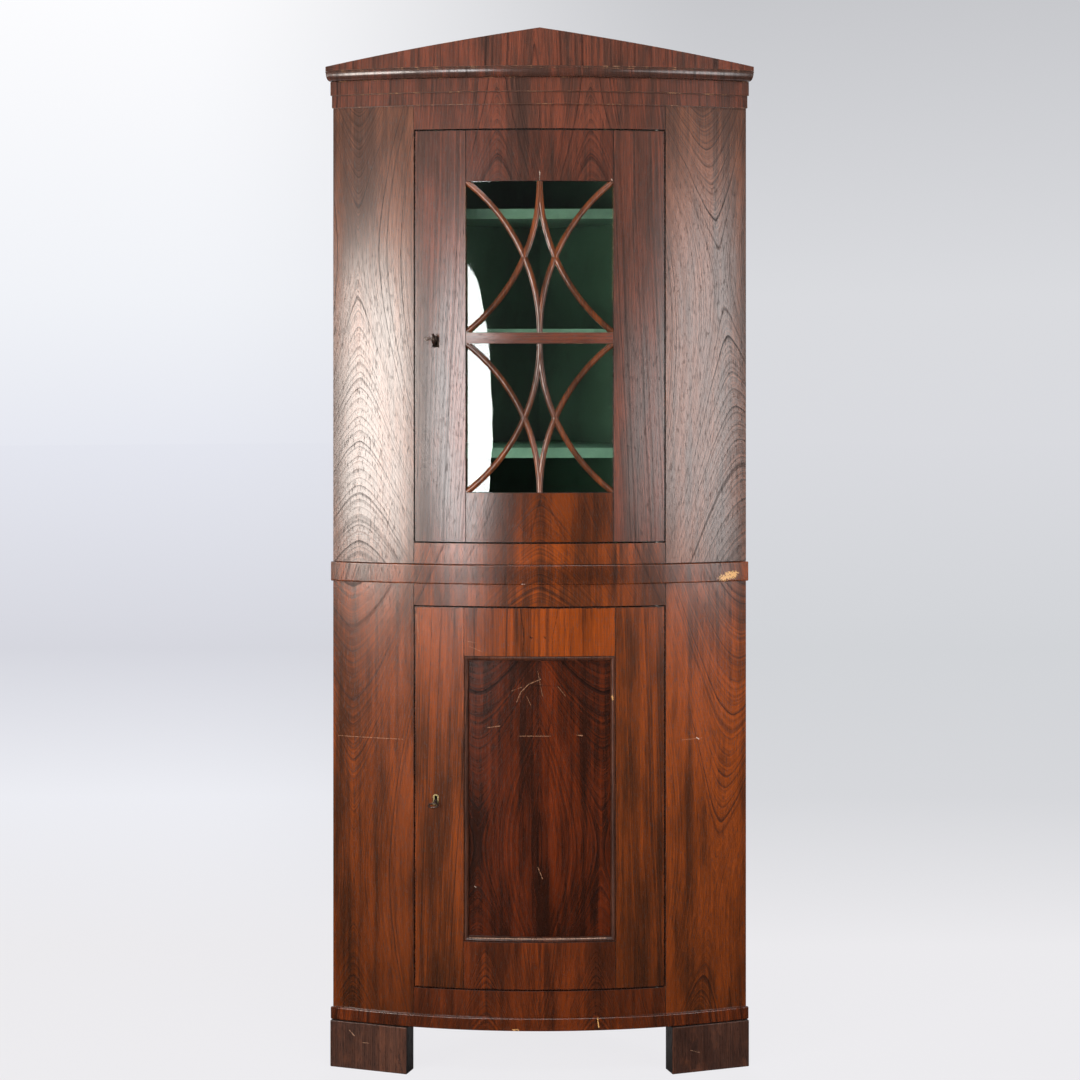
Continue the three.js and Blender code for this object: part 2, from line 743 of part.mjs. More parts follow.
function addDoorHardware(section, group, opening, keyHeight, bowTurn, droop) {
  const liner = atFace(keyholeLiner(), keyAngle, keyHeight);
  addPiece(`${section}_keyhole_liner`, liner, section === 'lower' ? 'brass' : 'iron', group);
  addPiece(`${section}_lock_case`, atFace(lockCase(), keyAngle, keyHeight), 'iron', group);
  addPiece(`${section}_lock_bolt`, atFace(lockBolt(), keyAngle, keyHeight), 'iron', group);
  const key = keySolid(bowTurn).rotateX(droop).translate(0, keyBitDepth, 0);
  addPiece(`${section}_key`, atFace(key, keyAngle, keyHeight), 'iron', group);
  addPiece(`${section}_door_lower_pivot_socket`, atPivot(pivotSocket(), opening.bottom, false), 'iron', group);
  addPiece(`${section}_door_upper_pivot_socket`, atPivot(pivotSocket(), opening.top, true), 'iron', group);
  addPiece(`${section}_door_lower_pivot_pin`, atPivot(pivotPin(), opening.bottom, false), 'iron');
  addPiece(`${section}_door_upper_pivot_pin`, atPivot(pivotPin(), opening.top, true), 'iron');
}

// Upper door: two panes, one above the other, behind a lattice of curved bars
const upperDoor = new THREE.Group();
cupboard.add(upperDoor);
const upperDoorBottom = upperOpeningBottom + doorGap;
const upperDoorTop = upperOpeningTop - doorGap;
const glazingTop = upperDoorTop - upperDoorTopRailHeight;
const centreRailTop = glazingTop - upperPaneHeight;
const centreRailBottom = centreRailTop - centreRailHeight;
const glazingBottom = upperDoorBottom + upperDoorBottomRailHeight;

addDoorStiles('upper', upperDoor, glazingAngle, glazingLip, upperOpening, upperKeyHeight);
addPiece('upper_door_top_rail', doorRail(glazingTop, upperDoorTop, glazingLip, rebateWidth, 0, glazingAngle),
  'veneer', upperDoor);
addPiece('upper_door_centre_rail',
  doorRail(centreRailBottom, centreRailTop, glazingLip, rebateWidth, rebateWidth, glazingAngle),
  'moulding', upperDoor);
addPiece('upper_door_bottom_rail',
  doorRail(upperDoorBottom, glazingBottom, glazingLip, 0, rebateWidth, glazingAngle), 'veneer', upperDoor);

// A sheet in the rebates behind an opening
function sheetBehind(innerAngle, bottom, top, lip, thickness) {
  const face = frontRadius - lip - glueGap;
  const back = face - thickness;
  const low = bottom - rebateWidth + glueGap;
  const high = top + rebateWidth - glueGap;
  const end = innerAngle + arcToAngle(rebateWidth - glueGap);
  return bowSolid([[back, low], [face, low], [face, high], [back, high]], -end, end);
}

addPiece('upper_pane', sheetBehind(glazingAngle, centreRailTop, glazingTop, glazingLip, glassThickness),
  'glass', upperDoor);
addPiece('lower_pane', sheetBehind(glazingAngle, glazingBottom, centreRailBottom, glazingLip, glassThickness),
  'glass', upperDoor);

// Glazing bars: circular arcs from each outer corner to the middle of the rail opposite
const barWidth = 11.5;
const barCrown = 5;
const barShoulderDepth = 3.5;
const barFaceDepth = 0.6;
const barSteps = 14;

function glazingBar(bottom, top, side, upright) {
  const height = top - bottom;
  const halfWidth = glazingAngle * frontRadius;
  const radius = (halfWidth ** 2 + height ** 2) / (2 * halfWidth);
  const endTurn = Math.asin(height / radius);
  const spare = overrun / radius;
  const back = glazingLip;
  const across = [[-barWidth / 2, back], [-barWidth / 2, barShoulderDepth], [-barCrown / 2, barFaceDepth],
    [barCrown / 2, barFaceDepth], [barWidth / 2, barShoulderDepth], [barWidth / 2, back]];
  const sections = [];
  for (let i = 0; i <= barSteps; i += 1) {
    const turn = THREE.MathUtils.lerp(-spare, endTurn + spare, i / barSteps);
    sections.push(across.map(([offset, depth]) => {
      const u = side * ((radius + offset) * Math.cos(turn) - radius);
      const rise = (radius + offset) * Math.sin(turn);
      const z = upright ? bottom + rise : top - rise;
      return [...planPoint(frontRadius - depth, u / frontRadius), z];
    }));
  }
  return loft(sections);
}

function glazingLattice(bottom, top) {
  const bars = [glazingBar(bottom, top, 1, true), glazingBar(bottom, top, 1, false),
    glazingBar(bottom, top, -1, true), glazingBar(bottom, top, -1, false)];
  const end = glazingAngle - arcToAngle(glueGap);
  const low = bottom + glueGap;
  const high = top - glueGap;
  const back = frontRadius - glazingLip;
  const room = bowSolid([[back, low], [frontRadius, low], [frontRadius, high], [back, high]], -end, end);
  return common(join(...bars), room);
}

addPiece('upper_glazing_bars', glazingLattice(centreRailTop, glazingTop), 'moulding', upperDoor);
addPiece('lower_glazing_bars', glazingLattice(glazingBottom, centreRailBottom), 'moulding', upperDoor);
addDoorHardware('upper', upperDoor, upperOpening, upperKeyHeight, Math.PI / 2, 0);

// Lower door: a panel behind a mitred bead
const lowerDoor = new THREE.Group();
cupboard.add(lowerDoor);
const lowerDoorBottom = lowerOpeningBottom + doorGap;
const lowerDoorTop = lowerOpeningTop - doorGap;
const panelTop = lowerDoorTop - lowerDoorTopRailHeight;
const panelBottom = lowerDoorBottom + lowerDoorBottomRailHeight;

addDoorStiles('lower', lowerDoor, panelAngle, panelLip, lowerOpening, lowerKeyHeight);
addPiece('lower_door_top_rail', doorRail(panelTop, lowerDoorTop, panelLip, rebateWidth, 0, panelAngle),
  'veneer', lowerDoor);
addPiece('lower_door_bottom_rail', doorRail(lowerDoorBottom, panelBottom, panelLip, 0, rebateWidth, panelAngle),
  'veneer', lowerDoor);
addPiece('lower_door_panel', sheetBehind(panelAngle, panelBottom, panelTop, panelLip, panelThickness),
  'veneer', lowerDoor);

// The bead lines the panel's opening; its round nose sinks towards the panel
const beadWidth = 9;
const beadFaceDepth = 1.2;
const beadNoseSteps = 5;
const beadShoulder = 2;

function beadProfile() {
  const points = [[glueGap, panelLip], [glueGap, beadFaceDepth + beadShoulder / 2]];
  const noseWidth = beadWidth - beadShoulder;
  for (let i = 0; i <= beadNoseSteps; i += 1) {
    const turn = Math.PI / 2 * i / beadNoseSteps;
    const inset = beadShoulder + noseWidth * Math.sin(turn);
    points.push([inset, beadFaceDepth + (panelLip - beadFaceDepth - beadShoulder) * (1 - Math.cos(turn))]);
  }
  points.push([beadWidth, panelLip]);
  return points;
}

function beadFrame() {
  const halfSpan = panelAngle * frontRadius;
  const steps = 2 * Math.ceil(panelAngle / facetAngle);
  const profile = beadProfile();
  const stations = [];
  for (let i = 0; i <= steps; i += 1) stations.push([2 * i / steps - 1, -1]);
  for (let i = 0; i <= steps; i += 1) stations.push([1 - 2 * i / steps, 1]);
  const sections = stations.map(([across, up]) => profile.map(([inset, depth]) => {
    const u = across * (halfSpan - inset);
    const z = up < 0 ? panelBottom + inset : panelTop - inset;
    return [...planPoint(frontRadius - depth, u / frontRadius), z];
  }));
  return loft(sections, true);
}

addPiece('lower_door_bead', beadFrame(), 'moulding', lowerDoor);
addDoorHardware('lower', lowerDoor, lowerOpening, lowerKeyHeight, 0, lowerKeyDroop);

// The whole stands with the middle of its overall box on the origin
const frontmost = arcCentreY - frontRadius - corniceProjection;
cupboard.position.y = -(frontmost + bodyHalfWidth) / 2;

export default cupboard;
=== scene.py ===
import math
from functools import partial
from types import SimpleNamespace
import bmesh
import bpy
import numpy as np
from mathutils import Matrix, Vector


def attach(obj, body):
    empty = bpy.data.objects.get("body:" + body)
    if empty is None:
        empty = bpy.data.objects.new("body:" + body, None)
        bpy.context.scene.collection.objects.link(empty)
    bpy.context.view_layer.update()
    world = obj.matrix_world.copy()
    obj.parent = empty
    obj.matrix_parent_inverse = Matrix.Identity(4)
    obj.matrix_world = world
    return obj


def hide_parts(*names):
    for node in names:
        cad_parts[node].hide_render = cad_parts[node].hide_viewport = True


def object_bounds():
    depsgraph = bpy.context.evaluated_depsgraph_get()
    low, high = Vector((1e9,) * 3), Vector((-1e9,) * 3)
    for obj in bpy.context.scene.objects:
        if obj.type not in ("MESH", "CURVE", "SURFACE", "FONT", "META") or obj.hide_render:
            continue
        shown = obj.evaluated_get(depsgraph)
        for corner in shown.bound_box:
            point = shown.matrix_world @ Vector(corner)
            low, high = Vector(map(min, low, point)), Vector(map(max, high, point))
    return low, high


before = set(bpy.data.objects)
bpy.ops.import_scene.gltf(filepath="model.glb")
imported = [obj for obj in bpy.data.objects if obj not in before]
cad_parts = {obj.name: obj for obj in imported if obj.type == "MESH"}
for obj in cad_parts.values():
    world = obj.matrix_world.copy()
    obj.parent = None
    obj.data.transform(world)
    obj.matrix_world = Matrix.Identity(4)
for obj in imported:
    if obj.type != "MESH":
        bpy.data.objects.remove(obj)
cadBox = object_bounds()
print("frame loaded")

# The cupboard's plan, in metres: every front face is an arc about one upright axis,
# and the ends are cut by the two room walls, which meet behind at a right angle.
plan = dict(
    frontRadius=1.087,
    bodyHalfWidth=0.415,
    frameThickness=0.024,
    shiftBack=-0.15683057,
    stileShare=0.4178,        # width of a carcass stile against the body's half width
    glazingShare=0.2496,      # width of the glazed door's stiles, likewise
    panelShare=0.2405,        # width of the panelled door's stiles, likewise
    doorGap=0.002,
    glueGap=0.0003,
    keyInset=0.0433,          # from the door's left edge to the keyhole
    pivotInset=0.014,         # from the door's right edge to the pivot pins
    arcStep=math.radians(0.36),
)
faceR = plan["frontRadius"]
innerR = faceR - plan["frameThickness"]
glueGap = plan["glueGap"]
arcCentrePlanY = math.sqrt(faceR ** 2 - plan["bodyHalfWidth"] ** 2)
arcCentreY = arcCentrePlanY + plan["shiftBack"]


def wallMeets(radius):
    # angle where a circle about the bow's axis meets the wall: 45 degrees less arcsin(wall's distance / radius)
    reach = (arcCentrePlanY - plan["bodyHalfWidth"]) / (np.asarray(radius) * math.sqrt(2))
    return math.pi / 4 - np.arcsin(reach)


def bowPoint(radius, angle, z):
    # x = r sin a, y = centre - r cos a
    radius, angle, z = np.broadcast_arrays(radius, angle, z)
    return np.stack([radius * np.sin(angle), arcCentreY - radius * np.cos(angle), z], axis=-1)


# Angles from the middle of the bow
openingAngle = float(wallMeets(faceR)) - plan["stileShare"] * plan["bodyHalfWidth"] / faceR
doorAngle = openingAngle - plan["doorGap"] / faceR
glazingAngle = doorAngle - plan["glazingShare"] * plan["bodyHalfWidth"] / faceR
panelAngle = doorAngle - plan["panelShare"] * plan["bodyHalfWidth"] / faceR
keyAngle = plan["keyInset"] / faceR - doorAngle
pivotAngle = doorAngle - plan["pivotInset"] / faceR

# Heights from the floor up, in metres
heights = dict(
    footTop=0.093,
    plinthTop=0.1184,
    lowerOpeningBottom=0.171,
    lowerDoorBottom=0.173,
    panelBottom=0.267,
    lowerKey=0.550,
    panelTop=0.831,
    lowerDoorTop=0.9275,
    lowerOpeningTop=0.9295,
    waistBottom=0.973,
    waistTop=1.012,
    upperOpeningBottom=1.054,
    upperDoorBottom=1.056,
    glazingBottom=1.1545,
    centreRailBottom=1.449,
    upperKey=1.458,
    centreRailTop=1.471,
    glazingTop=1.770,
    upperDoorTop=1.8715,
    upperOpeningTop=1.8735,
    friezeBottom=1.9215,
    friezeMiddle=1.9465,
    friezeTop=1.9745,
    corniceTop=1.9945,
)


def gridFaces(rows, columns, closeRows=False, closeColumns=False):
    # quads between neighbouring points of a rows x columns grid
    i = np.arange(rows if closeRows else rows - 1)
    j = np.arange(columns if closeColumns else columns - 1)
    i, j = np.meshgrid(i, j, indexing="ij")
    nextI = (i + 1) % rows
    nextJ = (j + 1) % columns
    quads = np.stack([i * columns + j, nextI * columns + j, nextI * columns + nextJ, i * columns + nextJ], axis=-1)
    return quads.reshape(-1, 4)


def addObject(name, data):
    obj = bpy.data.objects.new(name, data)
    bpy.context.scene.collection.objects.link(obj)
    return obj


def makePiece(name, points, faces, materials):
    mesh = bpy.data.meshes.new(name)
    mesh.from_pydata(np.asarray(points).reshape(-1, 3).tolist(), [], faces)
    mesh.validate()
    for material in materials:
        mesh.materials.append(material)
    faceOutwards(mesh)
    softenFaces(mesh)
    return addObject(name, mesh)


def faceOutwards(mesh):
    work = bmesh.new()
    work.from_mesh(mesh)
    bmesh.ops.recalc_face_normals(work, faces=work.faces)
    work.to_mesh(mesh)
    work.free()


def softenFaces(mesh, sharpDegrees=32.0):
    mesh.polygons.foreach_set("use_smooth", np.ones(len(mesh.polygons), dtype=bool))
    mesh.set_sharp_from_angle(angle=math.radians(sharpDegrees))
    mesh.update()


def solidFromGrid(name, grid, materials=(), closedPath=False):
    # grid[i, j]: section point j at station i; open paths get a flat cap at each end
    rows, columns = grid.shape[:2]
    faces = gridFaces(rows, columns, closedPath, True).tolist()
    if not closedPath:
        faces.append(list(range(columns)))
        faces.append([(rows - 1) * columns + j for j in range(columns)][::-1])
    return makePiece(name, grid, faces, materials)


def bowSolid(name, section, start, end, materials=()):
    # a section of (radius, z) points carried round the bow; start and end give each point's angle
    section = np.asarray(section, dtype=float)
    radius, z = section[:, 0], section[:, 1]
    low = start(radius) if callable(start) else np.full(len(radius), start)
    high = end(radius) if callable(end) else np.full(len(radius), end)
    steps = max(2, int(math.ceil(abs(high[0] - low[0]) / plan["arcStep"])))
    share = np.linspace(0, 1, steps + 1)[:, None]
    angle = low + (high - low) * share
    return solidFromGrid(name, bowPoint(radius, angle, z), materials)


def leftWall(radius):
    # the left wall's angle is the right one's mirror image
    return -wallMeets(radius)


def uprightSolid(name, outline, bottom, top, materials=()):
    # a closed plan outline of (radius, angle) points carried straight up
    outline = np.asarray(outline, dtype=float)
    z = np.array([bottom, top])[:, None]
    return solidFromGrid(name, bowPoint(outline[:, 0], outline[:, 1], z), materials)


def arc(radius, start, end):
    # (radius, angle) points evenly spread from start to end
    count = max(2, int(math.ceil(abs(end - start) / plan["arcStep"])) + 1)
    return [(radius, a) for a in np.linspace(start, end, count)]


def rectangle(inner, outer, bottom, top):
    # the four (radius, z) corners of a section
    return [(inner, bottom), (outer, bottom), (outer, top), (inner, top)]


def turned(grid, axis, angle):
    # turned about one axis: with p and q the two that follow it, p cos - q sin and p sin + q cos
    c, s = math.cos(angle), math.sin(angle)
    made = np.array(grid, dtype=float)
    first, second = made[..., axis - 2].copy(), made[..., axis - 1].copy()
    made[..., axis - 2], made[..., axis - 1] = first * c - second * s, first * s + second * c
    return made


def onFace(grid, angle, z):
    # a grid whose x runs along the bow's face, y into the wood and z up, set on the bow
    return turned(grid, 2, angle) + bowPoint(faceR, angle, z)


def boxGrid(low, high):
    # the four corners of a box's plan at its two levels
    ring = np.array([(low[0], low[1]), (high[0], low[1]), (high[0], high[1]), (low[0], high[1])])
    return np.stack([np.column_stack([ring, np.full(4, level)]) for level in (low[2], high[2])])


def faceBox(name, low, high, angle, z, materials=()):
    # a box between two corners, set on the bow
    return solidFromGrid(name, onFace(boxGrid(low, high), angle, z), materials)


def carve(obj, cutters, operation="DIFFERENCE"):
    # booleans, applied at once, so that pockets and joins are real
    for cutter in cutters:
        modifier = obj.modifiers.new("cut", "BOOLEAN")
        modifier.operation = operation
        modifier.solver = "EXACT"
        modifier.object = cutter
    graph = bpy.context.evaluated_depsgraph_get()
    mesh = bpy.data.meshes.new_from_object(obj.evaluated_get(graph))
    obj.modifiers.clear()
    old = obj.data
    name = old.name
    obj.data = mesh
    bpy.data.meshes.remove(old)
    mesh.name = name
    for cutter in cutters:
        bpy.data.objects.remove(cutter)
    softenFaces(mesh)


def easeEdges(obj, width, segments=2, wornSlot=1):
    # rounded arrises; wornSlot gives them the second material of the piece
    modifier = obj.modifiers.new("easedEdges", "BEVEL")
    modifier.width = width
    modifier.segments = segments
    modifier.limit_method = "ANGLE"
    modifier.angle_limit = math.radians(40)
    modifier.harden_normals = True
    modifier.use_clamp_overlap = True
    modifier.miter_outer = "MITER_ARC"
    modifier.material = wornSlot


def place(obj, body, node, slotName):
    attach(obj, body)
    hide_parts(node)


def placeWood(obj, body, node, ease):
    easeEdges(obj, ease)
    place(obj, body, node, "veneer")


def nodeTools(tree):
    # short ways to add, link and reckon with the nodes of one tree
    def setSocket(socket, value):
        if isinstance(value, bpy.types.NodeSocket):
            tree.links.new(value, socket)
        elif value is not None:
            socket.default_value = value

    def add(kind, *inputs, out=0, **settings):
        # the inputs in the sockets' order, or one dictionary of them
        made = tree.nodes.new(kind)
        for key, value in settings.items():
            setattr(made, key, value)
        named = inputs and isinstance(inputs[0], dict)
        for key, value in inputs[0].items() if named else enumerate(inputs):
            setSocket(made.inputs[key], value)
        return made.outputs[out] if made.outputs else None

    def calc(operation, *inputs, clamp=False):
        return add("ShaderNodeMath", *inputs, operation=operation, use_clamp=clamp)

    def chain(operation, total, *values):
        for value in values:
            total = calc(operation, total, value)
        return total

    plus, minus, times, over, most, least = (
        partial(chain, kind) for kind in ("ADD", "SUBTRACT", "MULTIPLY", "DIVIDE", "MAXIMUM", "MINIMUM"))
    size = partial(calc, "ABSOLUTE")

    def vector(operation, *inputs, out=0):
        return add("ShaderNodeVectorMath", *inputs, operation=operation, out=out)

    def scaled(value, factor):
        return vector("SCALE", value, None, None, factor)

    def split(value):
        return add("ShaderNodeSeparateXYZ", value).node.outputs

    def own():
        # object coordinates
        return add("ShaderNodeTexCoord", out=3)

    def noise(value, scale, detail, roughness, shift=(0, 0, 0)):
        # noise in a space stretched by scale along x, y and z
        spread = vector("MULTIPLY", vector("ADD", value, shift), scale)
        return add("ShaderNodeTexNoise", spread, None, 1.0, detail, roughness)

    def noiseAlong(value, scale, detail, roughness):
        return add("ShaderNodeTexNoise", None, value, scale, detail, roughness, noise_dimensions="1D")

    def swing(value, amount):
        # noise moved to swing about 0, (value - 0.5) * amount
        return times(minus(value, 0.5), amount)

    def fit(value, low, high, newLow=0.0, newHigh=1.0, **settings):
        return add("ShaderNodeMapRange", value, low, high, newLow, newHigh, clamp=True, **settings)

    def smooth(value, low, high, newLow=0.0, newHigh=1.0):
        return fit(value, low, high, newLow, newHigh, interpolation_type="SMOOTHSTEP")

    def blend(share, first, second):
        return add("ShaderNodeMix", {0: share, 6: first, 7: second}, out=2, data_type="RGBA", clamp_factor=True)

    def ramp(value, stops):
        made = add("ShaderNodeValToRGB", value)
        elements = made.node.color_ramp.elements
        while len(elements) < len(stops):
            elements.new(0.5)
        for element, (position, colour) in zip(elements, stops):
            element.position = position
            element.color = colour
        return made

    def bump(height, strength, distance):
        return add("ShaderNodeBump", {"Strength": strength, "Distance": distance, "Height": height})

    join, mixShader, principled, output = (partial(add, "ShaderNode" + kind) for kind in (
        "CombineXYZ", "MixShader", "BsdfPrincipled", "OutputMaterial"))

    def finish(colour, roughness, normal=None, **others):
        output(principled({"Base Color": colour, "Roughness": roughness, "Normal": normal, **others}))

    def rays():
        # which rays are the camera's, and which come by a mirror or through glass
        ray = add("ShaderNodeLightPath").node.outputs
        return ray, most(ray["Is Glossy Ray"], ray["Is Transmission Ray"])

    tree.nodes.clear()
    return SimpleNamespace(**{name: tool for name, tool in locals().items() if callable(tool)})


def newMaterial(name):
    material = bpy.data.materials.new(name)
    material.use_nodes = True
    return material, nodeTools(material.node_tree)


def srgb(red, green, blue):
    # a colour written as 0 to 255, made linear
    values = np.array([red, green, blue], dtype=float) / 255
    linear = np.where(values <= 0.04045, values / 12.92, ((values + 0.055) / 1.055) ** 2.4)
    return tuple(float(v) for v in linear) + (1.0,)


# Polished veneer: growth rings of a log cut lengthways, dull brown with warm stretches between some rings
veneerLook = dict(
    brown=srgb(92, 60, 50),
    warm=srgb(136, 62, 34),
    line=srgb(50, 30, 26),
    roughness=0.21,
    polish=0.5,
    coatRoughness=0.17,
    unevenness=0.002,       # height of the surface's slow waves, in metres
    markDepth=(0.0135, 0.0115),   # marks fade out between these depths below the face
)
# each kind of grain: stretch along x, y and z, then the noise's detail and roughness
veneerGrain = dict(
    wander=((9.0, 3.0, 1.3), 2.0, 0.5),
    shiver=((60.0, 20.0, 8.0), 3.0, 0.6),
    fibre=((420.0, 160.0, 24.0), 3.0, 0.65),
    pores=((560.0, 260.0, 75.0), 2.0, 0.5),
    cloud=((16.0, 6.0, 3.2), 4.0, 0.6),
    streak=((95.0, 30.0, 1.8), 3.0, 0.6),
    scuff=((40.0, 40.0, 25.0), 4.0, 0.6),
    surface=((22.0, 22.0, 6.0), 2.0, 0.5),
)
markColours = dict(rub=srgb(176, 134, 104), bare=srgb(216, 164, 100), dark=srgb(22, 12, 8), speck=srgb(214, 200, 184))


def markMask(kit, front, points, width):
    # a broken line through points on the front, in millimetres: nearness to each stretch, ragged by noise
    gaps = []
    points, width = np.divide(points, 1000).tolist(), width / 1000
    for (x1, z1), (x2, z2) in zip(points, points[1:]):
        length = math.hypot(x2 - x1, z2 - z1)
        heading = ((x2 - x1) / length, 0.0, (z2 - z1) / length)
        offset = kit.vector("SUBTRACT", front, (x1, 0.0, z1))
        along = kit.vector("DOT_PRODUCT", offset, heading, out=1)
        along = kit.least(kit.most(along, 0.0), length)
        gaps.append(kit.vector("DISTANCE", offset, kit.scaled(heading, along), out=1))
    ragged = kit.noise(front, (330.0, 330.0, 330.0), 3.0, 0.6)
    reach = kit.plus(kit.least(*gaps), kit.times(kit.minus(ragged, 0.42), width * 2.4))
    return kit.smooth(reach, 0.35 * width, 0.7 * width, 1.0, 0.0)


def veneer(name, heart=(0.0, 1.0), fold=None, lean=0.0, bend=-0.003, core=0.017, ringWidth=0.0055, warp=0.005,
           point=0.04, contrast=1.0, figure=1.1, warmShare=0.5, seed=0.0, across=False, tint=1.0, look=None,
           worn=0.0, ripple=0.0, marks=()):
    # ring number = f / (width * core * sqrt(1 + |f| / core^2)) with f = point^2 * (|dx| / point)^1.6 + bend * dz^2:
    # bend below zero draws arches under the heart and hollows over it, above zero it draws long ovals.
    # fold = (middle, half) mirrors the figure about a middle line, as two leaves of one sheet laid side by side
    look = {**veneerLook, **(look or {})}
    material, kit = newMaterial(name)
    plus, minus, times, over, fit, smooth, blend = (
        kit.plus, kit.minus, kit.times, kit.over, kit.fit, kit.smooth, kit.blend)
    shift = (seed * 1.37, seed * 0.71, seed * 2.13)
    here = kit.own()
    if across:
        # grain along the bow: x and z change places
        x, y, z = kit.split(here)
        here = kit.join(z, y, x)
    x, y, z = kit.split(here)
    front = kit.join(x, 0.0, z)

    def grain(kind):
        return kit.noise(here, *veneerGrain[kind], shift)

    dz = minus(z, heart[1])
    sheetX = minus(kit.size(minus(x, fold[0])), fold[1]) if fold else x
    dx = minus(minus(sheetX, heart[0]), times(dz, lean))
    dx = plus(dx, kit.swing(grain("wander"), warp * 5), kit.swing(grain("shiver"), warp * 0.7))
    sideOn = times(kit.calc("POWER", over(kit.size(dx), point), 1.6), point * point)
    square = plus(sideOn, times(dz, dz, bend))
    spread = kit.calc("SQRT", plus(over(kit.size(square), core * core), 1.0))
    rings = plus(over(square, times(spread, ringWidth * core)), seed * 17.0)
    # each ring darkens slowly and ends in a thin line; one-dimensional noise keeps them uneven
    uneven = kit.noiseAlong(rings, 0.55, 2.0, 0.5)
    finer = kit.noiseAlong(rings, 3.1, 3.0, 0.65)
    phase = kit.calc("FRACT", plus(rings, times(uneven, 2.4)))
    line = times(kit.calc("POWER", phase, 6.0), smooth(phase, 0.94, 1.0, 1.0, 0.0), fit(uneven, 0.35, 0.6, 0.35, 1.0))
    lines = kit.calc("MULTIPLY", line, 0.95 * figure, clamp=True)
    fibre, cloud, streak = grain("fibre"), grain("cloud"), grain("streak")
    pore = smooth(grain("pores"), 0.55, 0.66)

    light = plus(kit.swing(finer, 0.6 * contrast), kit.swing(fibre, 1.1), kit.swing(cloud, 0.45 * contrast),
                 kit.swing(streak, 0.3 * contrast))
    if ripple > 0:
        # curl across the grain, in patches
        bands = kit.vector("MULTIPLY", kit.vector("ADD", here, shift), (6.0, 6.0, 120.0))
        curl = kit.add("ShaderNodeTexWave", bands, 1.0, 2.5, 2.0, 1.0, wave_type="BANDS", bands_direction="Z",
                       wave_profile="SIN")
        light = plus(light, times(minus(curl, 0.5), smooth(cloud, 0.45, 0.6), ripple))
    # darker towards the floor
    light = kit.most(times(plus(light, 1.0), fit(x if across else z, 0.1, 0.75, 0.58 * tint, tint)), 0.15)
    warm = plus(times(cloud, 0.5), times(streak, 0.3), times(finer, 0.2))
    warm = smooth(warm, 0.52 - 0.2 * warmShare, 0.72 - 0.2 * warmShare)
    colour = kit.scaled(blend(warm, look["brown"], look["warm"]), light)
    colour = blend(lines, colour, look["line"])
    colour = blend(times(pore, 0.5), colour, look["line"])
    if worn > 0:
        colour = blend(times(smooth(grain("scuff"), 0.5, 0.7), worn), colour, look["warm"])
    if marks:
        # only the face of the bow is marked, not the back of the piece
        fromAxis = kit.vector("LENGTH", kit.join(x, minus(y, arcCentreY), 0.0), out=1)
        faceNear = smooth(fromAxis, *(faceR - depth for depth in look["markDepth"]))
    for kind, width, share, *points in marks:
        colour = blend(times(markMask(kit, front, points, width), share, faceNear), colour, markColours[kind])

    # lines and pores are a little rougher, duller and lower than the polish
    rough = fit(cloud, 0.3, 0.7, look["roughness"] * 0.85, look["roughness"] * 1.2)
    rough = kit.calc("ADD", rough, plus(times(pore, 0.12), times(lines, 0.12)), clamp=True)
    dull = plus(times(lines, 0.7), times(pore, 0.35), smooth(fibre, 0.5, 0.3, 0.0, 0.15))
    gloss = kit.calc("SUBTRACT", 1.0, dull, clamp=True)
    height = plus(minus(grain("surface"), plus(times(pore, 0.025), times(lines, 0.02))), times(fibre, 0.012))
    kit.finish(colour, rough, kit.bump(height, 0.2, look["unevenness"]),
               **{"Specular IOR Level": times(gloss, 0.5), "Coat Weight": times(gloss, look["polish"]),
                  "Coat Roughness": look["coatRoughness"]})
    return material


def bareWoodEdge(name, pale, stained, amount):
    # an arris rubbed through to the wood in places
    material, kit = newMaterial(name)
    rub = kit.noise(kit.own(), (55.0, 55.0, 30.0), 5.0, 0.7)
    colour = kit.blend(kit.smooth(rub, 0.62 - 0.2 * amount, 0.7 - 0.1 * amount), stained, pale)
    kit.finish(colour, kit.fit(rub, 0.3, 0.7, 0.35, 0.6))
    return material


def brushedPaint(kit, here, colour, fade, shift=(0, 0, 0)):
    # old paint: faded in clouds, grimy in patches, with brush strokes
    blend = kit.blend
    cloud = kit.noise(here, (8.0, 8.0, 6.0), 4.0, 0.6, shift)
    brush = kit.noise(here, (60.0, 60.0, 420.0), 3.0, 0.6, shift)
    grime = kit.smooth(kit.noise(here, (22.0, 22.0, 15.0), 5.0, 0.65, shift), 0.48, 0.7)
    grimy = tuple(0.4 * part for part in colour[:3]) + (1.0,)
    painted = blend(kit.fit(cloud, 0.3, 0.7), colour, fade)
    painted = blend(kit.times(grime, 0.35), painted, grimy)
    painted = blend(kit.times(kit.fit(brush, 0.35, 0.65), 0.18), painted, fade)
    return painted, cloud, brush


def paint(name, colour, fade, rough=0.55, seed=0.0):
    material, kit = newMaterial(name)
    shift = (seed * 1.7, seed * 0.9, seed * 1.1)
    painted, cloud, brush = brushedPaint(kit, kit.own(), colour, fade, shift)
    kit.finish(painted, kit.fit(cloud, 0.3, 0.7, rough - 0.08, rough + 0.1), kit.bump(brush, 0.25, 0.0006))
    return material


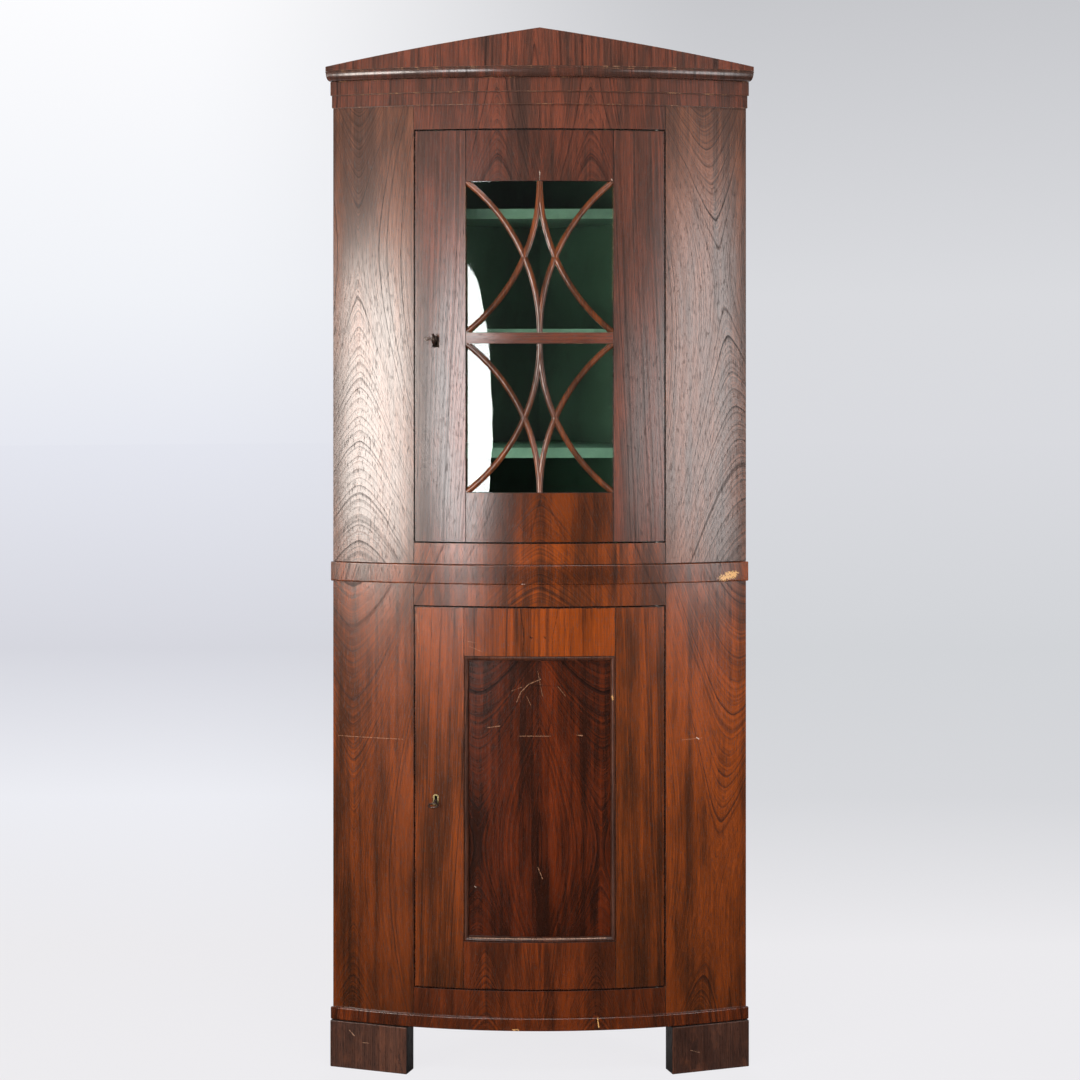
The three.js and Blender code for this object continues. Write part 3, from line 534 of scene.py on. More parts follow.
def boardFinish(name, colour, fade, skin=0.005):
    # paint inside the cupboard; bare old planks outside, told apart by depth below the carcass's outer planes
    outer = dict(wallTip=0.258169, top=heights["friezeTop"], underside=0.149)
    planks = dict(width=0.145, offset=0.33, seam=0.487)
    material, kit = newMaterial(name)
    plus, minus, times = kit.plus, kit.minus, kit.times
    here = kit.own()
    x, y, z = kit.split(here)
    spread = kit.size(x)
    depth = kit.least(times(minus(outer["wallTip"], plus(spread, y)), math.sqrt(0.5)), minus(outer["top"], z),
                      minus(z, outer["underside"]))
    outside = kit.smooth(depth, skin, 0.8 * skin)
    painted, cloud, brush = brushedPaint(kit, here, colour, fade)
    # planks side by side along each wall, with a dark seam between
    plankAt = plus(kit.over(times(minus(spread, y), math.sqrt(0.5)), planks["width"]), planks["offset"])
    plank = kit.calc("FLOOR", plankAt)
    fromMiddle = kit.size(minus(kit.calc("FRACT", plankAt), 0.5))
    seam = kit.smooth(fromMiddle, planks["seam"], planks["seam"] + 0.01)
    ownPlank = kit.vector("ADD", here, kit.join(times(plank, 3.7), plank, times(plank, 5.1)))
    fibre = kit.noise(ownPlank, (160.0, 160.0, 4.0), 5.0, 0.65)
    damp = kit.noise(ownPlank, (7.0, 7.0, 2.0), 4.0, 0.6)
    bare = kit.ramp(plus(times(fibre, 0.6), times(damp, 0.4)),
                    [(0.3, srgb(72, 54, 38)), (0.5, srgb(122, 94, 64)), (0.7, srgb(158, 128, 90))])
    bare = kit.blend(seam, bare, srgb(30, 22, 16))
    rough = kit.calc("ADD", kit.fit(cloud, 0.3, 0.7, 0.52, 0.7), times(outside, 0.2), clamp=True)
    kit.finish(kit.blend(outside, painted, bare), rough, kit.bump(plus(brush, times(outside, fibre)), 0.25, 0.0006))
    return material


def metal(name, colour, dark, rough, seed, patina):
    # worn metal: patina in patches, finer scratches in the roughness
    material, kit = newMaterial(name)
    here = kit.own()
    shift = (seed * 1.9, seed * 0.7, seed * 1.3)
    patch = kit.noise(here, (120.0, 120.0, 120.0), 4.0, 0.6, shift)
    scratch = kit.noise(here, (700.0, 700.0, 700.0), 2.0, 0.5, shift)
    share = kit.times(kit.smooth(patch, 0.4, 0.65), patina)
    rough = kit.calc("ADD", kit.fit(scratch, 0.3, 0.7, rough - 0.08, rough + 0.08), kit.times(share, 0.25), clamp=True)
    kit.finish(kit.blend(share, colour, dark), rough, kit.bump(patch, 0.3, 0.0003), Metallic=1.0)
    return material


def paneGlass(name, glassTint=(0.93, 0.97, 0.95, 1)):
    # clear old glass; shadow rays pass straight through
    material, kit = newMaterial(name)
    here = kit.own()
    wave = kit.noise(here, (14.0, 14.0, 9.0), 1.0, 0.4)
    smear = kit.noise(here, (30.0, 30.0, 12.0), 4.0, 0.6)
    glass = kit.principled({"Base Color": glassTint, "Transmission Weight": 1.0, "IOR": 1.58,
                            "Roughness": kit.fit(smear, 0.4, 0.7, 0.0, 0.04), "Normal": kit.bump(wave, 0.12, 0.002)})
    clear = kit.add("ShaderNodeBsdfTransparent", glassTint)
    kit.output(kit.mixShader(kit.add("ShaderNodeLightPath", out="Is Shadow Ray"), glass, clear))
    return material


# Finishes
ironMetal = metal("wornIron", srgb(112, 98, 90), srgb(44, 34, 29), 0.32, seed=1.0, patina=0.7)
sootIron = metal("darkIron", srgb(58, 48, 41), srgb(26, 20, 17), 0.5, seed=4.0, patina=0.8)
brassMetal = metal("oldBrass", srgb(196, 178, 128), srgb(104, 84, 46), 0.32, seed=2.0, patina=0.6)
steelMetal = metal("brightSteel", srgb(150, 146, 140), srgb(70, 62, 55), 0.35, seed=3.0, patina=0.5)
wallPaint = boardFinish("wallGreen", srgb(47, 77, 57), srgb(61, 95, 73))
shelfPaint = paint("shelfGreen", srgb(80, 117, 94), srgb(102, 140, 117), seed=2.0)
glassClear = paneGlass("oldGlass")
arris = bareWoodEdge("rubbedArris", srgb(168, 124, 88), srgb(84, 52, 38), 0.5)
# dark arrises of the carcass boards and doors: painted shade for the gaps round the doors, with a little wear rubbed
# through to the wood
grimyArris = bareWoodEdge("grimyArris", srgb(96, 60, 40), srgb(34, 20, 15), 0.15)


def stain(brown, warm, line, **others):
    return {"brown": srgb(*brown), "warm": srgb(*warm), "line": srgb(*line), **others}


upperLook = stain((84, 57, 46), (118, 72, 51), (34, 23, 20))
topLook = stain((76, 52, 44), (112, 60, 44), (30, 20, 18))
barLook = stain((80, 46, 29), (122, 62, 28), (32, 20, 15))
waistLook = stain((80, 42, 23), (138, 62, 15), (30, 17, 12))
lowerLook = stain((80, 41, 20), (134, 60, 13), (32, 17, 11))
baseLook = stain((70, 32, 15), (112, 46, 9), (28, 14, 9))
panelLook = stain((50, 22, 11), (104, 39, 8), (20, 9, 6), polish=0.3)
beadLook = stain((58, 32, 22), (96, 50, 28), (28, 14, 10), roughness=0.34, polish=0.1)
footLook = stain((78, 45, 32), (108, 61, 39), (32, 21, 17), roughness=0.38, polish=0.15)
bareLook = stain((104, 76, 52), (134, 100, 66), (60, 42, 28), roughness=0.6, polish=0.0)
rawLook = stain((30, 20, 16), (42, 26, 20), (16, 11, 9), roughness=0.6, polish=0.0)
bareWood = veneer("bareWood", (0.4, 0.5), seed=25.0, look=bareLook)
rawWood = veneer("darkRawWood", (0.4, 0.5), seed=24.0, look=rawLook)
footWood = veneer("rearFootWood", (0.1, 0.0), seed=23.0, look=footLook, worn=0.3)
print("finishes made")


def facing(obj):
    # each face's middle and outward direction
    count = len(obj.data.polygons)
    middles, normals = np.empty(count * 3), np.empty(count * 3)
    obj.data.polygons.foreach_get("center", middles)
    obj.data.polygons.foreach_get("normal", normals)
    return middles.reshape(-1, 3), normals.reshape(-1, 3)


# Scratches, chips and stains, and a pale line on the bead that is partly a painted highlight. A mark is its kind, its
# width, how strongly it covers, then its points (x, z);
# all measures of a mark are in millimetres
marksOn = {
    "lower_left_stile": [("rub", 1.1, 0.6, (-404, 662.5), (-272, 662.5))],
    "lower_right_stile": [
        ("rub", 1.1, 0.6, (284, 660.5), (324, 662.5)), ("speck", 1.6, 0.8, (312, 664.5), (318, 660.5))],
    "plinthWood": [
        ("bare", 3, 0.9, (-53.3, 96.2), (-41.5, 96.2)), ("bare", 2.8, 0.9, (114.5, 117.9), (116.5, 100.1))],
    "waistWood": [
        ("dark", 50, 0.22, (-170, 992), (190, 992)), ("dark", 50, 0.22, (-120, 992), (150, 992)),
        ("bare", 12.5, 1.0, (364, 980.5), (390, 984.5)), ("bare", 9, 1.0, (374, 988.5), (394, 990.5)),
        ("speck", 2, 0.8, (-35.5, 974.6), (-29.6, 974.6))],
    "leftFootWood": [
        ("rub", 1.6, 0.8, (-380, 76.5), (-370, 66.5)), ("rub", 1.4, 0.7, (-354, 54.5), (-340, 54.5)),
        ("dark", 6, 0.6, (-280, 36.5), (-272, 0.5))],
    "rightFootWood": [("rub", 1.2, 0.5, (300, 44.5), (318, 38.5))],
    "upper_doorLeftWood": [
        ("speck", 2, 0.7, (-146.1, 1772.1), (-144.1, 1766.2)),
        ("bare", 1.3, 0.55, (-146.9, 1760.2), (-146.1, 1535.2))],
    "upper_doorRightWood": [("bare", 1, 0.45, (145.3, 1760.2), (144.9, 1535.2))],
    "upper_doortopWood": [
        ("speck", 1.6, 0.7, (0, 1789.8), (0, 1768.1)), ("dark", 4, 0.6, (0, 1780), (0, 1766.2)),
        ("speck", 2, 0.7, (142.1, 1774.1), (144.1, 1768.1))],
    "upper_doorbottomWood": [
        ("dark", 1.6, 0.7, (-45.4, 1095), (-31.6, 1079.2)),
        ("dark", 4, 0.45, (2, 1144.3), (-9.9, 1100.9), (-19.7, 1061.4)),
        ("dark", 4, 0.35, (9.9, 1144.3), (31.6, 1100.9), (51.3, 1061.4))],
    "lower_doorLeftWood": [
        ("bare", 2.6, 0.9, (-250.8, 546.5), (-250, 538.5)), ("bare", 2.2, 0.8, (-250.8, 392.5), (-250, 372.5)),
        ("rub", 1.4, 0.4, (-244, 912.5), (-240, 856.5))],
    "lower_doortopWood": [
        ("dark", 1.8, 0.75, (-39.5, 931.2), (-35.5, 907.5), (-31.6, 879.8), (-33.6, 828.5)),
        ("dark", 1.8, 0.65, (37.5, 931.2), (31.6, 899.6), (25.7, 871.9), (25.7, 828.5)),
        ("dark", 4.2, 0.8, (-18.8, 870), (-15.8, 868)), ("dark", 4.2, 0.75, (8.9, 870), (11.8, 868)),
        ("rub", 1.2, 0.5, (-142.1, 860.1), (-126.3, 858.1)), ("rub", 1, 0.5, (-138.2, 850.2), (-114.5, 840.4))],
    "panelWood": [
        ("rub", 1.3, 0.75, (-45.4, 739.7), (-37.5, 759.4), (-21.7, 775.2), (2, 785.1)),
        ("rub", 1, 0.5, (-3.9, 800.9), (5.9, 751.5)), ("rub", 1, 0.5, (-57.2, 761.4), (-35.5, 769.3)),
        ("rub", 1, 0.5, (-25.7, 751.5), (-17.8, 733.8)), ("rub", 1.2, 0.55, (35.5, 771.3), (51.3, 751.5)),
        ("rub", 1.4, 0.8, (-104.6, 688.4), (-79, 692.3)), ("rub", 1.2, 0.6, (-41.5, 672.6), (21.7, 672.6)),
        ("rub", 1.8, 0.7, (73, 674.5), (84.9, 672.6)), ("rub", 1.2, 0.8, (-3.9, 414), (5.9, 390.3)),
        ("speck", 1.6, 0.9, (-128.3, 373.5), (-126.3, 372.5)), ("dark", 2.2, 0.55, (-19.7, 773.2), (43.4, 771.3)),
        ("dark", 3.5, 0.5, (27.6, 765.3), (23.7, 706.1), (15.8, 676.5)),
        ("dark", 3, 0.35, (-98.7, 800.9), (-94.8, 696.3)),
        ("dark", 3.5, 0.4, (126.3, 646.9), (130.3, 548.2), (122.4, 449.5))],
    # the long pale line on the bottom bead is partly rubbed wear and partly a painted highlight
    "beadWood": [("rub", 1.6, 0.75, (-138, 273.5), (132, 273.5)), ("bare", 4, 0.9, (143, 752), (145, 746))],
}


def frameWood(name, edge=arris, marks=(), **choices):
    return [veneer(name, marks=[*marks, *marksOn.get(name, ())], **choices), edge]


# Sheets of veneer that run on from piece to piece
topSheet = dict(heart=(0.0, 2.02), fold=(0.011, 0.094), bend=-0.05, seed=13.0, warmShare=0.55, look=topLook,
                contrast=1.2, figure=1.4)
waistSheet = dict(heart=(0.0, 1.25), bend=-0.16, core=0.04, seed=12.0, warmShare=0.55, look=waistLook, ripple=0.25)
baseSheet = dict(heart=(0.0, 0.34), fold=(0.0, 0.109), bend=-0.06, seed=38.0, warmShare=0.5, tint=1.5,
                 contrast=1.5, look=baseLook)

# Carcass stiles and rails: boards of the bow, the stiles ended in the wall planes
boardLook = {
    "upper_left_stile": dict(heart=(-0.359, 1.632), bend=-0.047, ringWidth=0.0034, seed=1.0, figure=1.35,
                             look=upperLook),
    "upper_right_stile": dict(heart=(0.366, 1.58), lean=-0.12, bend=-0.06, ringWidth=0.0042, seed=2.0, figure=1.35,
                              look=upperLook),
    "lower_left_stile": dict(heart=(-0.372, 0.40), bend=-0.05, seed=3.0, warmShare=0.55, tint=0.86, figure=1.1,
                             look=lowerLook, ripple=0.2),
    "lower_right_stile": dict(heart=(0.345, 0.34), lean=0.12, bend=-0.05, seed=4.0, warmShare=0.7, tint=1.1,
                              figure=1.25, look=lowerLook, ripple=0.2),
    "upper_top_rail": topSheet, "upper_bottom_rail": waistSheet, "lower_top_rail": waistSheet,
    "lower_bottom_rail": baseSheet,
}
carcassSizes = dict(ease=0.0007, stopThickness=0.009, stopLap=0.006, stopWidth=0.022, stopGap=0.0006, stopRoot=0.006)
lockSizes = dict(left=0.041, right=0.018, halfHeight=0.032, front=0.0123, back=0.0234, boltFront=0.016,
                 boltThickness=0.004, boltHeight=0.012, boltBottom=0.0058, running=0.00035, mortise=0.014,
                 beyond=0.005)
pivotPlate = dict(left=-0.030, right=0.010, front=0.0015, back=0.0115, railRecess=(-0.0028, 0.005),
                  doorRecess=(-0.003, 0.0048), axisDepth=0.0065, boreRadius=0.0031, boreReach=0.009)


def boltPassage(start, end, z):
    # the bolt's section and room to run, between two places along the face
    s = lockSizes
    low = (start, s["boltFront"] - s["running"], s["boltBottom"] - s["running"])
    high = (end, s["boltFront"] + s["boltThickness"] + s["running"], s["boltBottom"] + s["boltHeight"] + s["running"])
    return faceBox("cutter", low, high, keyAngle, z)


def pivotBox(recess, z, upsideDown):
    # room for a plate let into the rail or the door's end, drawn from the rail's face at local height 0
    p = pivotPlate
    below, above = recess
    if upsideDown:
        below, above = -above, -below
    return faceBox("cutter", (p["left"] - glueGap, p["front"] - glueGap, below),
                   (p["right"] + glueGap, p["back"] + glueGap, above), pivotAngle, z)


def pivotBore(z, upsideDown):
    # room for the pin's tip past the plate: a circle carried up or down from the door's end
    p = pivotPlate
    turn = np.linspace(0, 2 * math.pi, 24, endpoint=False)
    ring = np.column_stack([np.cos(turn), np.sin(turn), 0 * turn]) * p["boreRadius"] + (0, p["axisDepth"], 0)
    reach = -p["boreReach"] if upsideDown else p["boreReach"]
    return solidFromGrid("cutter", onFace(np.stack([ring, ring + (0, 0, reach)]), pivotAngle, z))


def doorStop():
    # plan of the stile with a strip glued behind it that the shut door meets
    c = carcassSizes
    stopR = innerR - c["stopGap"]
    outer, tip = -openingAngle - c["stopWidth"] / faceR, -openingAngle + c["stopLap"] / faceR
    return (arc(innerR + c["stopRoot"], -openingAngle, outer) + arc(stopR - c["stopThickness"], outer, tip)
            + arc(stopR, tip, -openingAngle))


sections = {
    "lower": dict(bottom=heights["footTop"] + glueGap, top=heights["waistTop"], key=heights["lowerKey"],
                  open=(heights["lowerOpeningBottom"], heights["lowerOpeningTop"])),
    "upper": dict(bottom=heights["waistTop"] + glueGap, top=heights["friezeTop"], key=heights["upperKey"],
                  open=(heights["upperOpeningBottom"], heights["upperOpeningTop"])),
}


def carcassBoard(node, bottom, top, start, end, **changes):
    # changes are what is joined or cut, by the kind of boolean
    # its arrises are dark, painted as the shade of the gaps round the doors
    board = bowSolid("veneered_" + node, rectangle(innerR, faceR, bottom, top), start, end,
                     frameWood(node, grimyArris, **boardLook[node]))
    for operation, other in changes.items():
        carve(board, [other], operation)
    placeWood(board, "cabinet", node, carcassSizes["ease"])


for name, s in sections.items():
    (low, high), end = s["open"], openingAngle - glueGap / faceR
    mortise = boltPassage(-lockSizes["left"] - lockSizes["mortise"] - lockSizes["beyond"], -lockSizes["left"], s["key"])
    carcassBoard(name + "_left_stile", s["bottom"], s["top"], leftWall, -openingAngle,
                 UNION=uprightSolid("cutter", doorStop(), low, high), DIFFERENCE=mortise)
    carcassBoard(name + "_right_stile", s["bottom"], s["top"], openingAngle, wallMeets)
    for part, bottom, top, z in (("_top_rail", high, s["top"], high), ("_bottom_rail", s["bottom"], low, low)):
        carcassBoard(name + part, bottom, top, -end, end,
                     DIFFERENCE=pivotBox(pivotPlate["railRecess"], z, z == high))
print("carcass frame made")


# Mouldings glued round the front
mouldings = dict(bandRound=0.0022, plinthProjection=0.006, waistProjection=0.0055, friezeStep=0.0035,
                 corniceLow=0.0078, corniceFace=0.019, corniceBack=0.030, fillet=0.003, filletStep=0.0008,
                 edge=0.0008, fineEdge=0.0005, flat=1.3)


def easedBand(bottom, top, projection, steps=6):
    # rectangle with quarter-round front corners; a point close to each round keeps the face between them flat
    ease = mouldings["bandRound"]
    turn = np.linspace(0, math.pi / 2, steps)
    back, face = faceR + glueGap, faceR + projection
    low = [(face - ease + ease * math.sin(t), bottom + ease - ease * math.cos(t)) for t in turn]
    high = [(face - ease + ease * math.cos(t), top - ease + ease * math.sin(t)) for t in turn]
    hold = [(face, bottom + mouldings["flat"] * ease), (face, top - mouldings["flat"] * ease)]
    return [(back, bottom)] + low + hold + high + [(back, top)]


def moulding(name, section, node, edge, woodName, **choices):
    # a section carried round the front from wall to wall
    band = bowSolid(name, section, leftWall, wallMeets, frameWood(woodName, **choices))
    placeWood(band, "cabinet", node, edge)


moulding("polished_plinth",
         easedBand(heights["footTop"] + glueGap, heights["plinthTop"], mouldings["plinthProjection"]),
         "plinth_moulding", mouldings["fineEdge"], "plinthWood", **baseSheet)
moulding("polished_waist", easedBand(heights["waistBottom"], heights["waistTop"], mouldings["waistProjection"]),
         "waist_moulding", mouldings["fineEdge"], "waistWood",
         **{**waistSheet, "tint": 0.8, "look": {**waistLook, "polish": 0.3}})
back, lowFace, highFace = faceR + glueGap, faceR + mouldings["friezeStep"], faceR + 2 * mouldings["friezeStep"]
moulding("veneered_frieze",
         [(back, heights["friezeBottom"]), (lowFace, heights["friezeBottom"]), (lowFace, heights["friezeMiddle"]),
          (highFace, heights["friezeMiddle"]), (highFace, heights["friezeTop"]), (back, heights["friezeTop"])],
         "frieze", mouldings["edge"], "friezeWood", **topSheet)

# cornice: a quarter-round that swells forward below a thin fillet
turn = np.linspace(0, math.pi / 2, 18)
ovoloR, corniceR = faceR + mouldings["corniceLow"], faceR + mouldings["corniceFace"]
corniceBack, corniceBottom = faceR - mouldings["corniceBack"], heights["friezeTop"] + glueGap
filletBottom = heights["corniceTop"] - mouldings["fillet"]
ovolo = np.column_stack([ovoloR + (corniceR - mouldings["filletStep"] - ovoloR) * np.sin(turn),
                         corniceBottom + (filletBottom - corniceBottom) * (1 - np.cos(turn))])
moulding("polished_cornice",
         [(corniceBack, corniceBottom)] + ovolo.tolist()
         + [(corniceR, filletBottom), (corniceR, heights["corniceTop"]), (corniceBack, heights["corniceTop"])],
         "cornice_moulding", mouldings["fineEdge"], "corniceWood", heart=(0.02, 2.3), bend=-0.01, seed=14.0,
         warmShare=0.3, look=topLook, tint=0.85)

# pediment: a board on the bow whose top rises in a straight line from both ends to the middle
pedimentSize = dict(thickness=0.020, end=0.0095, apex=0.076, steps=124)
share = np.linspace(0, 1, pedimentSize["steps"] + 1)[:, None]
pedimentBack = corniceR - pedimentSize["thickness"]
radii = np.array([pedimentBack, corniceR, corniceR, pedimentBack])
pedimentAngle = -wallMeets(radii) + 2 * wallMeets(radii) * share
topZ = heights["corniceTop"] + pedimentSize["end"] + (pedimentSize["apex"] - pedimentSize["end"]) * (
    1 - np.abs(2 * share - 1))
bottomZ = np.full_like(topZ, heights["corniceTop"] + glueGap)
pediment = solidFromGrid("veneered_pediment",
                         bowPoint(radii, pedimentAngle, np.hstack([bottomZ, bottomZ, topZ, topZ])),
                         frameWood("pedimentWood", heart=(-0.01, 2.35), bend=-0.004, ringWidth=0.009, seed=15.0,
                                   warmShare=0.6, look=topLook))
placeWood(pediment, "cabinet", "pediment", mouldings["edge"])
# its back is bare
pediment.data.materials.append(bareWood)
middles, normals = facing(pediment)
outward = (middles - np.array([0, arcCentreY, 0])) * np.array([1, 1, 0])
backFaces = (normals * outward).sum(axis=1) < -0.3 * np.linalg.norm(outward, axis=1)
pediment.data.polygons.foreach_set("material_index", np.where(backFaces, 2, 0))
print("mouldings made")


# Feet: plain blocks, rubbed and dented at the floor, polished on the front only
footSize = dict(width=0.165, thickness=0.038, projection=0.009, overhang=0.0014, ease=0.0018)
footAngle = float(wallMeets(faceR)) - (footSize["width"] / 2 - footSize["overhang"]) / faceR
for side, name in ((-1, "left"), (1, "right")):
    foot = faceBox("worn_" + name + "_foot",
                   (-footSize["width"] / 2, -footSize["projection"], 0),
                   (footSize["width"] / 2, footSize["thickness"] - footSize["projection"], heights["footTop"]),
                   side * footAngle, 0.0,
                   frameWood(name + "FootWood", heart=(side * 0.5, 0.0), seed=20.0 + side, look=footLook, worn=0.4)
                   + [rawWood])
    outward = np.array([math.sin(side * footAngle), -math.cos(side * footAngle), 0.0])
    foot.data.polygons.foreach_set("material_index", np.where(facing(foot)[1] @ outward > 0.5, 0, 2))
    easeEdges(foot, footSize["ease"], segments=3, wornSlot=-1)
    place(foot, "cabinet", name + "_front_foot", "foot_wood")


# Doors
# the last pair is the width in millimetres and cover of a band of painted shade along the doors' edges
doorSizes = dict(thickness=0.024, rebate=0.007, glazingLip=0.012, panelLip=0.010, ease=0.0006, glassThickness=0.003,
                 panelThickness=0.010, grime=(4, 0.85))
keyholeSize = dict(radius=0.0033, throat=0.0026, foot=0.0036, length=0.013, wall=0.0027, depth=0.004)


def keyholeOutline(grow, steps=28):
    # a round eye over a foot that widens downwards
    k = keyholeSize
    radius, throat, footHalf = k["radius"] + grow, k["throat"] + grow, k["foot"] + grow
    start = math.asin(throat / radius)
    angle = np.linspace(start - math.pi / 2, 3 * math.pi / 2 - start, steps)
    eye = np.column_stack([radius * np.cos(angle), radius * np.sin(angle)])
    return np.vstack([eye, [(-footHalf, -k["length"] - grow), (footHalf, -k["length"] - grow)]])


def holeCutter(outline, depth, z):
    # an outline of (along, up) points carried into the wood from just before the face
    front = -lockSizes["beyond"]
    ring = np.column_stack([outline[:, 0], np.zeros(len(outline)), outline[:, 1]])
    return solidFromGrid("cutter", onFace(np.stack([ring + (0, front, 0), ring + (0, depth, 0)]), keyAngle, z))


def doorStile(name, d, side, materials):
    # plan of three arcs: the face, the back and the bottom of the rebate
    inner, outer = side * d["inner"], side * doorAngle
    rebateEnd = inner + side * doorSizes["rebate"] / faceR
    outline = (arc(faceR, inner, outer) + arc(faceR - doorSizes["thickness"], outer, rebateEnd)
               + arc(faceR - d["lip"], rebateEnd, inner))
    return uprightSolid(name, outline, d["bottom"], d["top"], materials)


def doorRail(name, bottom, top, d, rebates, materials):
    # a section with a rebate at its lower or upper edge, or both, carried between the stiles
    backR, lipR = faceR - doorSizes["thickness"], faceR - d["lip"]
    low, high = bottom + doorSizes["rebate"] * rebates[0], top - doorSizes["rebate"] * rebates[1]
    section = [(backR, low), (lipR, low), (lipR, bottom), (faceR, bottom), (faceR, top), (lipR, top), (lipR, high),
               (backR, high)]
    corners = [p for i, p in enumerate(section) if p != section[i - 1]]
    end = d["inner"] - glueGap / faceR
    return bowSolid(name, corners, -end, end, materials)


def sheetBehind(name, d, bottom, top, thickness, materials):
    # a pane or panel in the rebates, on the bow
    face = faceR - d["lip"] - glueGap
    grow = doorSizes["rebate"] - glueGap
    end = d["inner"] + grow / faceR
    return bowSolid(name, rectangle(face - thickness, face, bottom - grow, top + grow), -end, end, materials)


doorLook = {
    "upper_doorLeftWood": dict(heart=(0.0, 2.4), seed=31.0, warmShare=0.45, look=topLook),
    "upper_doorRightWood": dict(heart=(0.05, 2.4), seed=32.0, look=topLook),
    "upper_doortopWood": dict(topSheet, tint=0.74),
    "upper_doorbottomWood": dict(waistSheet, tint=0.62),
    "lower_doorLeftWood": dict(heart=(-0.05, 1.6), seed=35.0, warmShare=0.55, look=lowerLook),
    "lower_doorRightWood": dict(heart=(0.05, 1.6), seed=36.0, look=lowerLook, tint=0.92),
    "lower_doortopWood": dict(heart=(0.4, 0.8), seed=37.0, warmShare=0.85, tint=0.94, look=waistLook, ripple=0.3),
    "lower_doorbottomWood": baseSheet,
}
doors = {
    "upper": dict(bottom=heights["upperDoorBottom"], top=heights["upperDoorTop"], inner=glazingAngle,
                  lip=doorSizes["glazingLip"], low=heights["glazingBottom"], high=heights["glazingTop"]),
    "lower": dict(bottom=heights["lowerDoorBottom"], top=heights["lowerDoorTop"], inner=panelAngle,
                  lip=doorSizes["panelLip"], low=heights["panelBottom"], high=heights["panelTop"]),
}


def doorWood(doorName, part):
    # a dark band along the door's edges: painted shade of the gap round the door
    name, low, high = doorName + "_door" + part + "Wood", doors[doorName]["bottom"], doors[doorName]["top"]
    edgeX = faceR * math.sin(doorAngle)
    corners = np.array([(-edgeX, low), (-edgeX, high), (edgeX, high), (edgeX, low), (-edgeX, low)]) * 1000
    return frameWood(name, grimyArris, [("dark", *doorSizes["grime"], *corners)], **doorLook[name])


for doorName, d in doors.items():
    body, s, keyZ = doorName + "_door", lockSizes, sections[doorName]["key"]
    pocket = faceBox("cutter", (-s["left"] - glueGap, s["front"] - glueGap, -s["halfHeight"] - glueGap),
                     (s["right"] + glueGap, s["back"] + s["beyond"], s["halfHeight"] + glueGap), keyAngle, keyZ)
    hole = holeCutter(keyholeOutline(0), s["front"] + s["beyond"], keyZ)
    linerRecess = holeCutter(keyholeOutline(keyholeSize["wall"] + glueGap), keyholeSize["depth"] + glueGap, keyZ)
    lockRoom = [pocket, hole, linerRecess, boltPassage(-s["left"] - s["mortise"], -s["left"], keyZ)]
    pivotRoom = [cutter for z, upsideDown in zip(sections[doorName]["open"], (False, True))
                 for cutter in (pivotBox(pivotPlate["doorRecess"], z, upsideDown), pivotBore(z, upsideDown))]
    for part, side, room in (("Left", -1, lockRoom), ("Right", 1, pivotRoom)):
        node = body + "_" + part.lower() + "_stile"
        stile = doorStile("veneered_" + node, d, side, doorWood(doorName, part))
        carve(stile, room)
        placeWood(stile, body, node, doorSizes["ease"])
    for part, bottom, top, rebates in (("top", d["high"], d["top"], (1, 0)), ("bottom", d["bottom"], d["low"], (0, 1))):
        node = body + "_" + part + "_rail"
        placeWood(doorRail("veneered_" + node, bottom, top, d, rebates, doorWood(doorName, part)), body, node,
                  doorSizes["ease"])

centreRail = doorRail("polished_centre_rail", heights["centreRailBottom"], heights["centreRailTop"], doors["upper"],
                      (1, 1), frameWood("centreRailWood", heart=(1.3, 0.3), seed=39.0, across=True, look=topLook))
placeWood(centreRail, "upper_door", "upper_door_centre_rail", doorSizes["ease"])

paneOpenings = {"upper": (heights["centreRailTop"], heights["glazingTop"]),
                "lower": (heights["glazingBottom"], heights["centreRailBottom"])}
for name, (bottom, top) in paneOpenings.items():
    pane = sheetBehind("glass_" + name + "_pane", doors["upper"], bottom, top, doorSizes["glassThickness"],
                       [glassClear])
    place(pane, "upper_door", name + "_pane", "glass")

panelLip, panelBottom, panelTop = doorSizes["panelLip"], heights["panelBottom"], heights["panelTop"]
panel = sheetBehind("crotch_panel", doors["lower"], panelBottom, panelTop, doorSizes["panelThickness"],
                    frameWood("panelWood", heart=(0.0, 0.449), fold=(0.0, 0.123), bend=-0.11, core=0.07,
                              ringWidth=0.008, warp=0.004, seed=41.0, warmShare=0.45, contrast=0.85, figure=1.5,
                              look=panelLook))
place(panel, "lower_door", "lower_door_panel", "veneer")

# bead: a nose that falls from the frame's face to the panel, mitred at the corners
beadSize = dict(width=0.009, face=0.0012, outer=0.0022, shoulder=0.002, toe=0.002, steps=100)
nose = np.linspace(0, math.pi / 2, 10)
beadInset = np.concatenate([[glueGap, glueGap],
                            beadSize["shoulder"] + (beadSize["width"] - beadSize["shoulder"]) * np.sin(nose),
                            [beadSize["width"]]])
fall = panelLip - beadSize["face"] - beadSize["toe"]
beadDepth = np.concatenate([[panelLip, beadSize["outer"]], beadSize["face"] + fall * (1 - np.cos(nose)), [panelLip]])
along = np.linspace(-1, 1, beadSize["steps"])
across = np.concatenate([along, along[::-1]])[:, None]
onTop = np.repeat([False, True], beadSize["steps"])[:, None]
beadU = across * (panelAngle * faceR - beadInset)
beadZ = np.where(onTop, panelTop - beadInset, panelBottom + beadInset)
bead = solidFromGrid("panel_bead", bowPoint(faceR - beadDepth, beadU / faceR, beadZ),
                     frameWood("beadWood", heart=(0.0, 2.0), seed=42.0, look=beadLook), closedPath=True)
place(bead, "lower_door", "lower_door_bead", "veneer")


# Glazing bars: circular arcs from each corner to the middle of the rail opposite
barSize = dict(width=0.0115, bead=0.0092, shoulder=0.0042, spring=0.0036, crown=0.0006, back=0.012, spare=0.005,
               steps=90)


